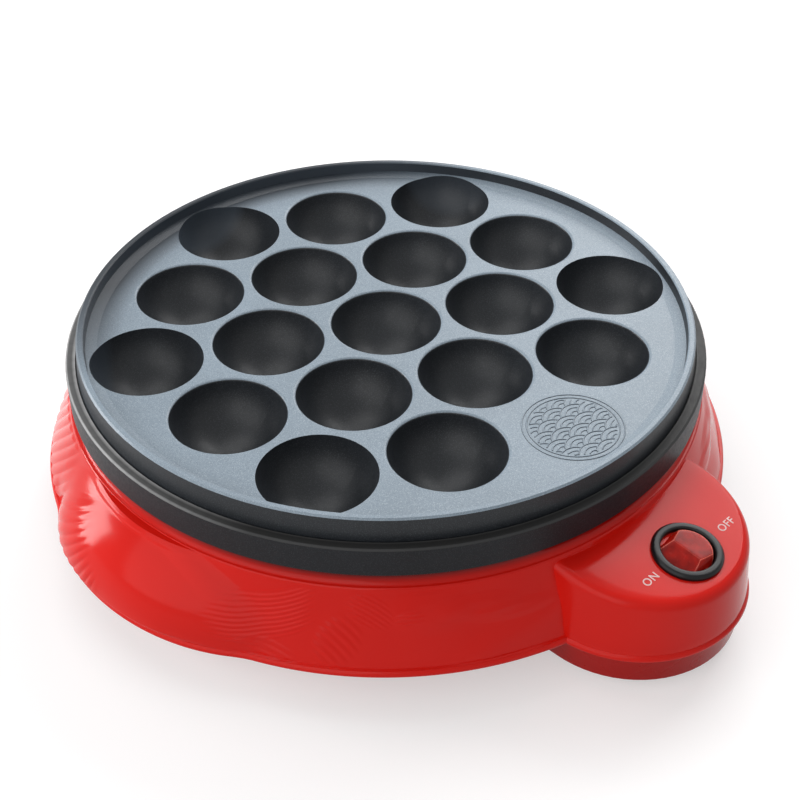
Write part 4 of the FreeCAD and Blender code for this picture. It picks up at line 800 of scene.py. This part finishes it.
def ribbon(path):
    """Vertices and faces of a low rounded bead along a path on the plate."""
    verts, faces = [], []
    for i, (x, y) in enumerate(path):
        before, after = path[max(i - 1, 0)], path[min(i + 1, len(path) - 1)]
        dx, dy = after[0] - before[0], after[1] - before[1]
        length = math.hypot(dx, dy)
        nx, ny = -dy / length, dx / length
        for across, rise in BEAD_SECTION:
            side = across * BEAD_WIDTH
            verts.append((x + nx * side, y + ny * side, PLATE_LEVEL - BEAD_SUNK + rise * BEAD_HEIGHT))
    n = len(BEAD_SECTION)
    for i in range(len(path) - 1):
        for k in range(n):
            m = (k + 1) % n
            faces.append((i * n + k, i * n + m, (i + 1) * n + m, (i + 1) * n + k))
    faces.append(tuple(range(n)))
    faces.append(tuple(reversed(range((len(path) - 1) * n, len(path) * n))))
    return verts, faces


RING_RADIUS = 16.5
RING_GAP = 1.6  # between the two lines of the ring
RING_POINTS = 97
WAVES_RADIUS = RING_RADIUS - 2.3  # the waves stay inside it
WAVE_ROWS = range(-7, 8)
WAVE_COLUMNS = range(-4, 5)
ROW_STEP = 2.8
SCALE_RADIUS = 5.6
SCALE_LINES = (1, 0.68, 0.36)  # radii of a scale's lines, as shares of its own
SCALE_COVER = 0.99  # share of its radius within which a scale hides those behind it
SCALE_POINTS = 25
SHORTEST_RUN = 4  # points


def arc(cx, cy, radius, end, count):
    """Points of an arc from the right, anticlockwise to an end angle."""
    turns = np.linspace(0, end, count)
    return [(cx + radius * math.cos(t), cy + radius * math.sin(t)) for t in turns]


def shown(x, y, sx, sy):
    """Whether a scale's point isn't covered by the scales of the rows in front of it."""
    for step in (1, 2):
        for shift in (-1, 0, 1):
            fx = sx + (shift + (step % 2) * 0.5) * 2 * SCALE_RADIUS
            fy = sy - step * ROW_STEP
            if math.hypot(x - fx, y - fy) < SCALE_RADIUS * SCALE_COVER:
                return False
    return True


def scale_runs(sx, sy):
    """The runs of a scale's lines that show inside the medallion's ring."""
    runs = []
    for share in SCALE_LINES:
        run = []
        for x, y in arc(sx, sy, SCALE_RADIUS * share, math.pi, SCALE_POINTS):
            if shown(x, y, sx, sy) and math.hypot(x, y) < WAVES_RADIUS:
                run.append((MEDALLION[0] + x, MEDALLION[1] + y))
            else:
                runs.append(run)
                run = []
        runs.append(run)
    return [run for run in runs if len(run) >= SHORTEST_RUN]


def wave_medallion():
    """Generic motif of overlapping wave scales inside a ring, moulded on the bare cell."""
    radii = (RING_RADIUS, RING_RADIUS - RING_GAP)
    paths = [arc(*MEDALLION, radius, 2 * math.pi, RING_POINTS) for radius in radii]
    for row in WAVE_ROWS:
        for column in WAVE_COLUMNS:
            paths += scale_runs((column + (row % 2) / 2) * 2 * SCALE_RADIUS, row * ROW_STEP)
    verts, faces = [], []
    for path in paths:
        more, quads = ribbon(path)
        faces += [tuple(i + len(verts) for i in quad) for quad in quads]
        verts += more
    return new_object("wave_medallion", verts, faces, COATING)


# ---------------------------------------------------------------- stage

SKY = 0.3  # strength of the world's light; the background itself is white
FLOOR_GLOW = 0.45
FLOOR_REACH = 6000
LIT_POINT = (0, 0, 0.04)

CAMERA_AT = (-304.3, -303.2, 366.2)
CAMERA_DOWN = math.radians(38.226)
CAMERA_YAW = math.radians(45.744)
CAMERA_ROLL = math.radians(-0.171)
SENSOR_WIDTH = 36.0
FOCAL_PIXELS = 1497.74  # focal length in pixels of a frame that is FRAME_PIXELS wide
FRAME_PIXELS = 800


def stage():
    """Pale floor and white background."""
    reach = FLOOR_REACH
    corners = [(-reach, -reach, 0), (reach, -reach, 0), (reach, reach, 0), (-reach, reach, 0)]
    floor = new_object("floor", corners, [(0, 1, 2, 3)], floor_material())
    world = bpy.data.worlds.new("studio")
    bpy.context.scene.world = world
    world.use_nodes = True
    tree = world.node_tree
    background = tree.nodes["Background"]
    background.inputs["Color"].default_value = (1, 1, 1, 1)
    strength = tree.nodes.new("ShaderNodeMapRange")
    strength.inputs["To Min"].default_value = SKY
    strength.inputs["To Max"].default_value = 1.0
    tree.links.new(seen_directly(tree), strength.inputs["Value"])
    tree.links.new(strength.outputs["Result"], background.inputs["Strength"])


def seen_directly(tree):
    """1 for rays from the camera, from a glossy surface or through a clear one."""
    path = tree.nodes.new("ShaderNodeLightPath")
    source = path.outputs["Is Camera Ray"]
    for kind in ("Is Glossy Ray", "Is Transmission Ray"):
        either = tree.nodes.new("ShaderNodeMath")
        either.operation = "MAXIMUM"
        tree.links.new(source, either.inputs[0])
        tree.links.new(path.outputs[kind], either.inputs[1])
        source = either.outputs[0]
    return source


def floor_material():
    look = Shader("pale_floor", Roughness=0.9, Specular_IOR_Level=0.1, Emission_Color=(1, 1, 1, 1))
    look.join(Base_Color=look.mix(look.noise(3, 2), (0.61, 0.61, 0.61), (0.6, 0.6, 0.6)))
    look.join(Emission_Strength=look.product(seen_directly(look.tree), FLOOR_GLOW))
    return look.material


def area_light(name, at, size, power):
    """Soft lamp that faces the object: place and size in metres, power in watts."""
    light = bpy.data.lights.new(name, "AREA")
    light.shape = "RECTANGLE"
    light.size, light.size_y = size
    light.energy = power
    obj = bpy.data.objects.new(name, light)
    bpy.context.scene.collection.objects.link(obj)
    obj.location = at
    obj.rotation_mode = "QUATERNION"
    obj.rotation_quaternion = (Vector(LIT_POINT) - Vector(at)).to_track_quat("-Z", "Y")


def lights():
    area_light("overhead", (0.1, 0.6, 1.3), (1.1, 0.9), 6)
    area_light("right", (1.0, 0.3, 0.8), (0.9, 0.8), 12)
    area_light("window", (-0.75, 1.25, 0.33), (0.5, 0.6), 12)
    area_light("side", (-1.3, -0.1, 0.8), (2.0, 1.4), 13)


def camera():
    """Camera of the photograph. Its yaw is counted from +Y towards +X."""
    run = math.cos(CAMERA_DOWN)
    ahead = Vector((run * math.sin(CAMERA_YAW), run * math.cos(CAMERA_YAW), -math.sin(CAMERA_DOWN)))
    level = Vector((math.cos(CAMERA_YAW), -math.sin(CAMERA_YAW), 0))
    above = level.cross(ahead)
    right = level * math.cos(CAMERA_ROLL) + above * math.sin(CAMERA_ROLL)
    up = above * math.cos(CAMERA_ROLL) - level * math.sin(CAMERA_ROLL)
    data = bpy.data.cameras.new("camera")
    data.sensor_width = SENSOR_WIDTH
    data.lens = SENSOR_WIDTH * FOCAL_PIXELS / FRAME_PIXELS
    obj = bpy.data.objects.new("camera", data)
    bpy.context.scene.collection.objects.link(obj)
    turn = Matrix((right, up, -ahead)).transposed().to_4x4()
    obj.matrix_world = Matrix.Translation(point(*CAMERA_AT)) @ turn
    bpy.context.scene.camera = obj


# ---------------------------------------------------------------- assembly

bpy.context.scene.view_settings.view_transform = "Standard"
camera()
lights()
stage()
dress_nodes()

casing = [casing_wall(), control_box(), cord_turret()]
for piece in casing:
    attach(piece, "base")
    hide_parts("upper_casing")

for piece in [lettering(*word) for word in LETTERS]:
    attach(piece, "base")

medallion = wave_medallion()
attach(medallion, "base")
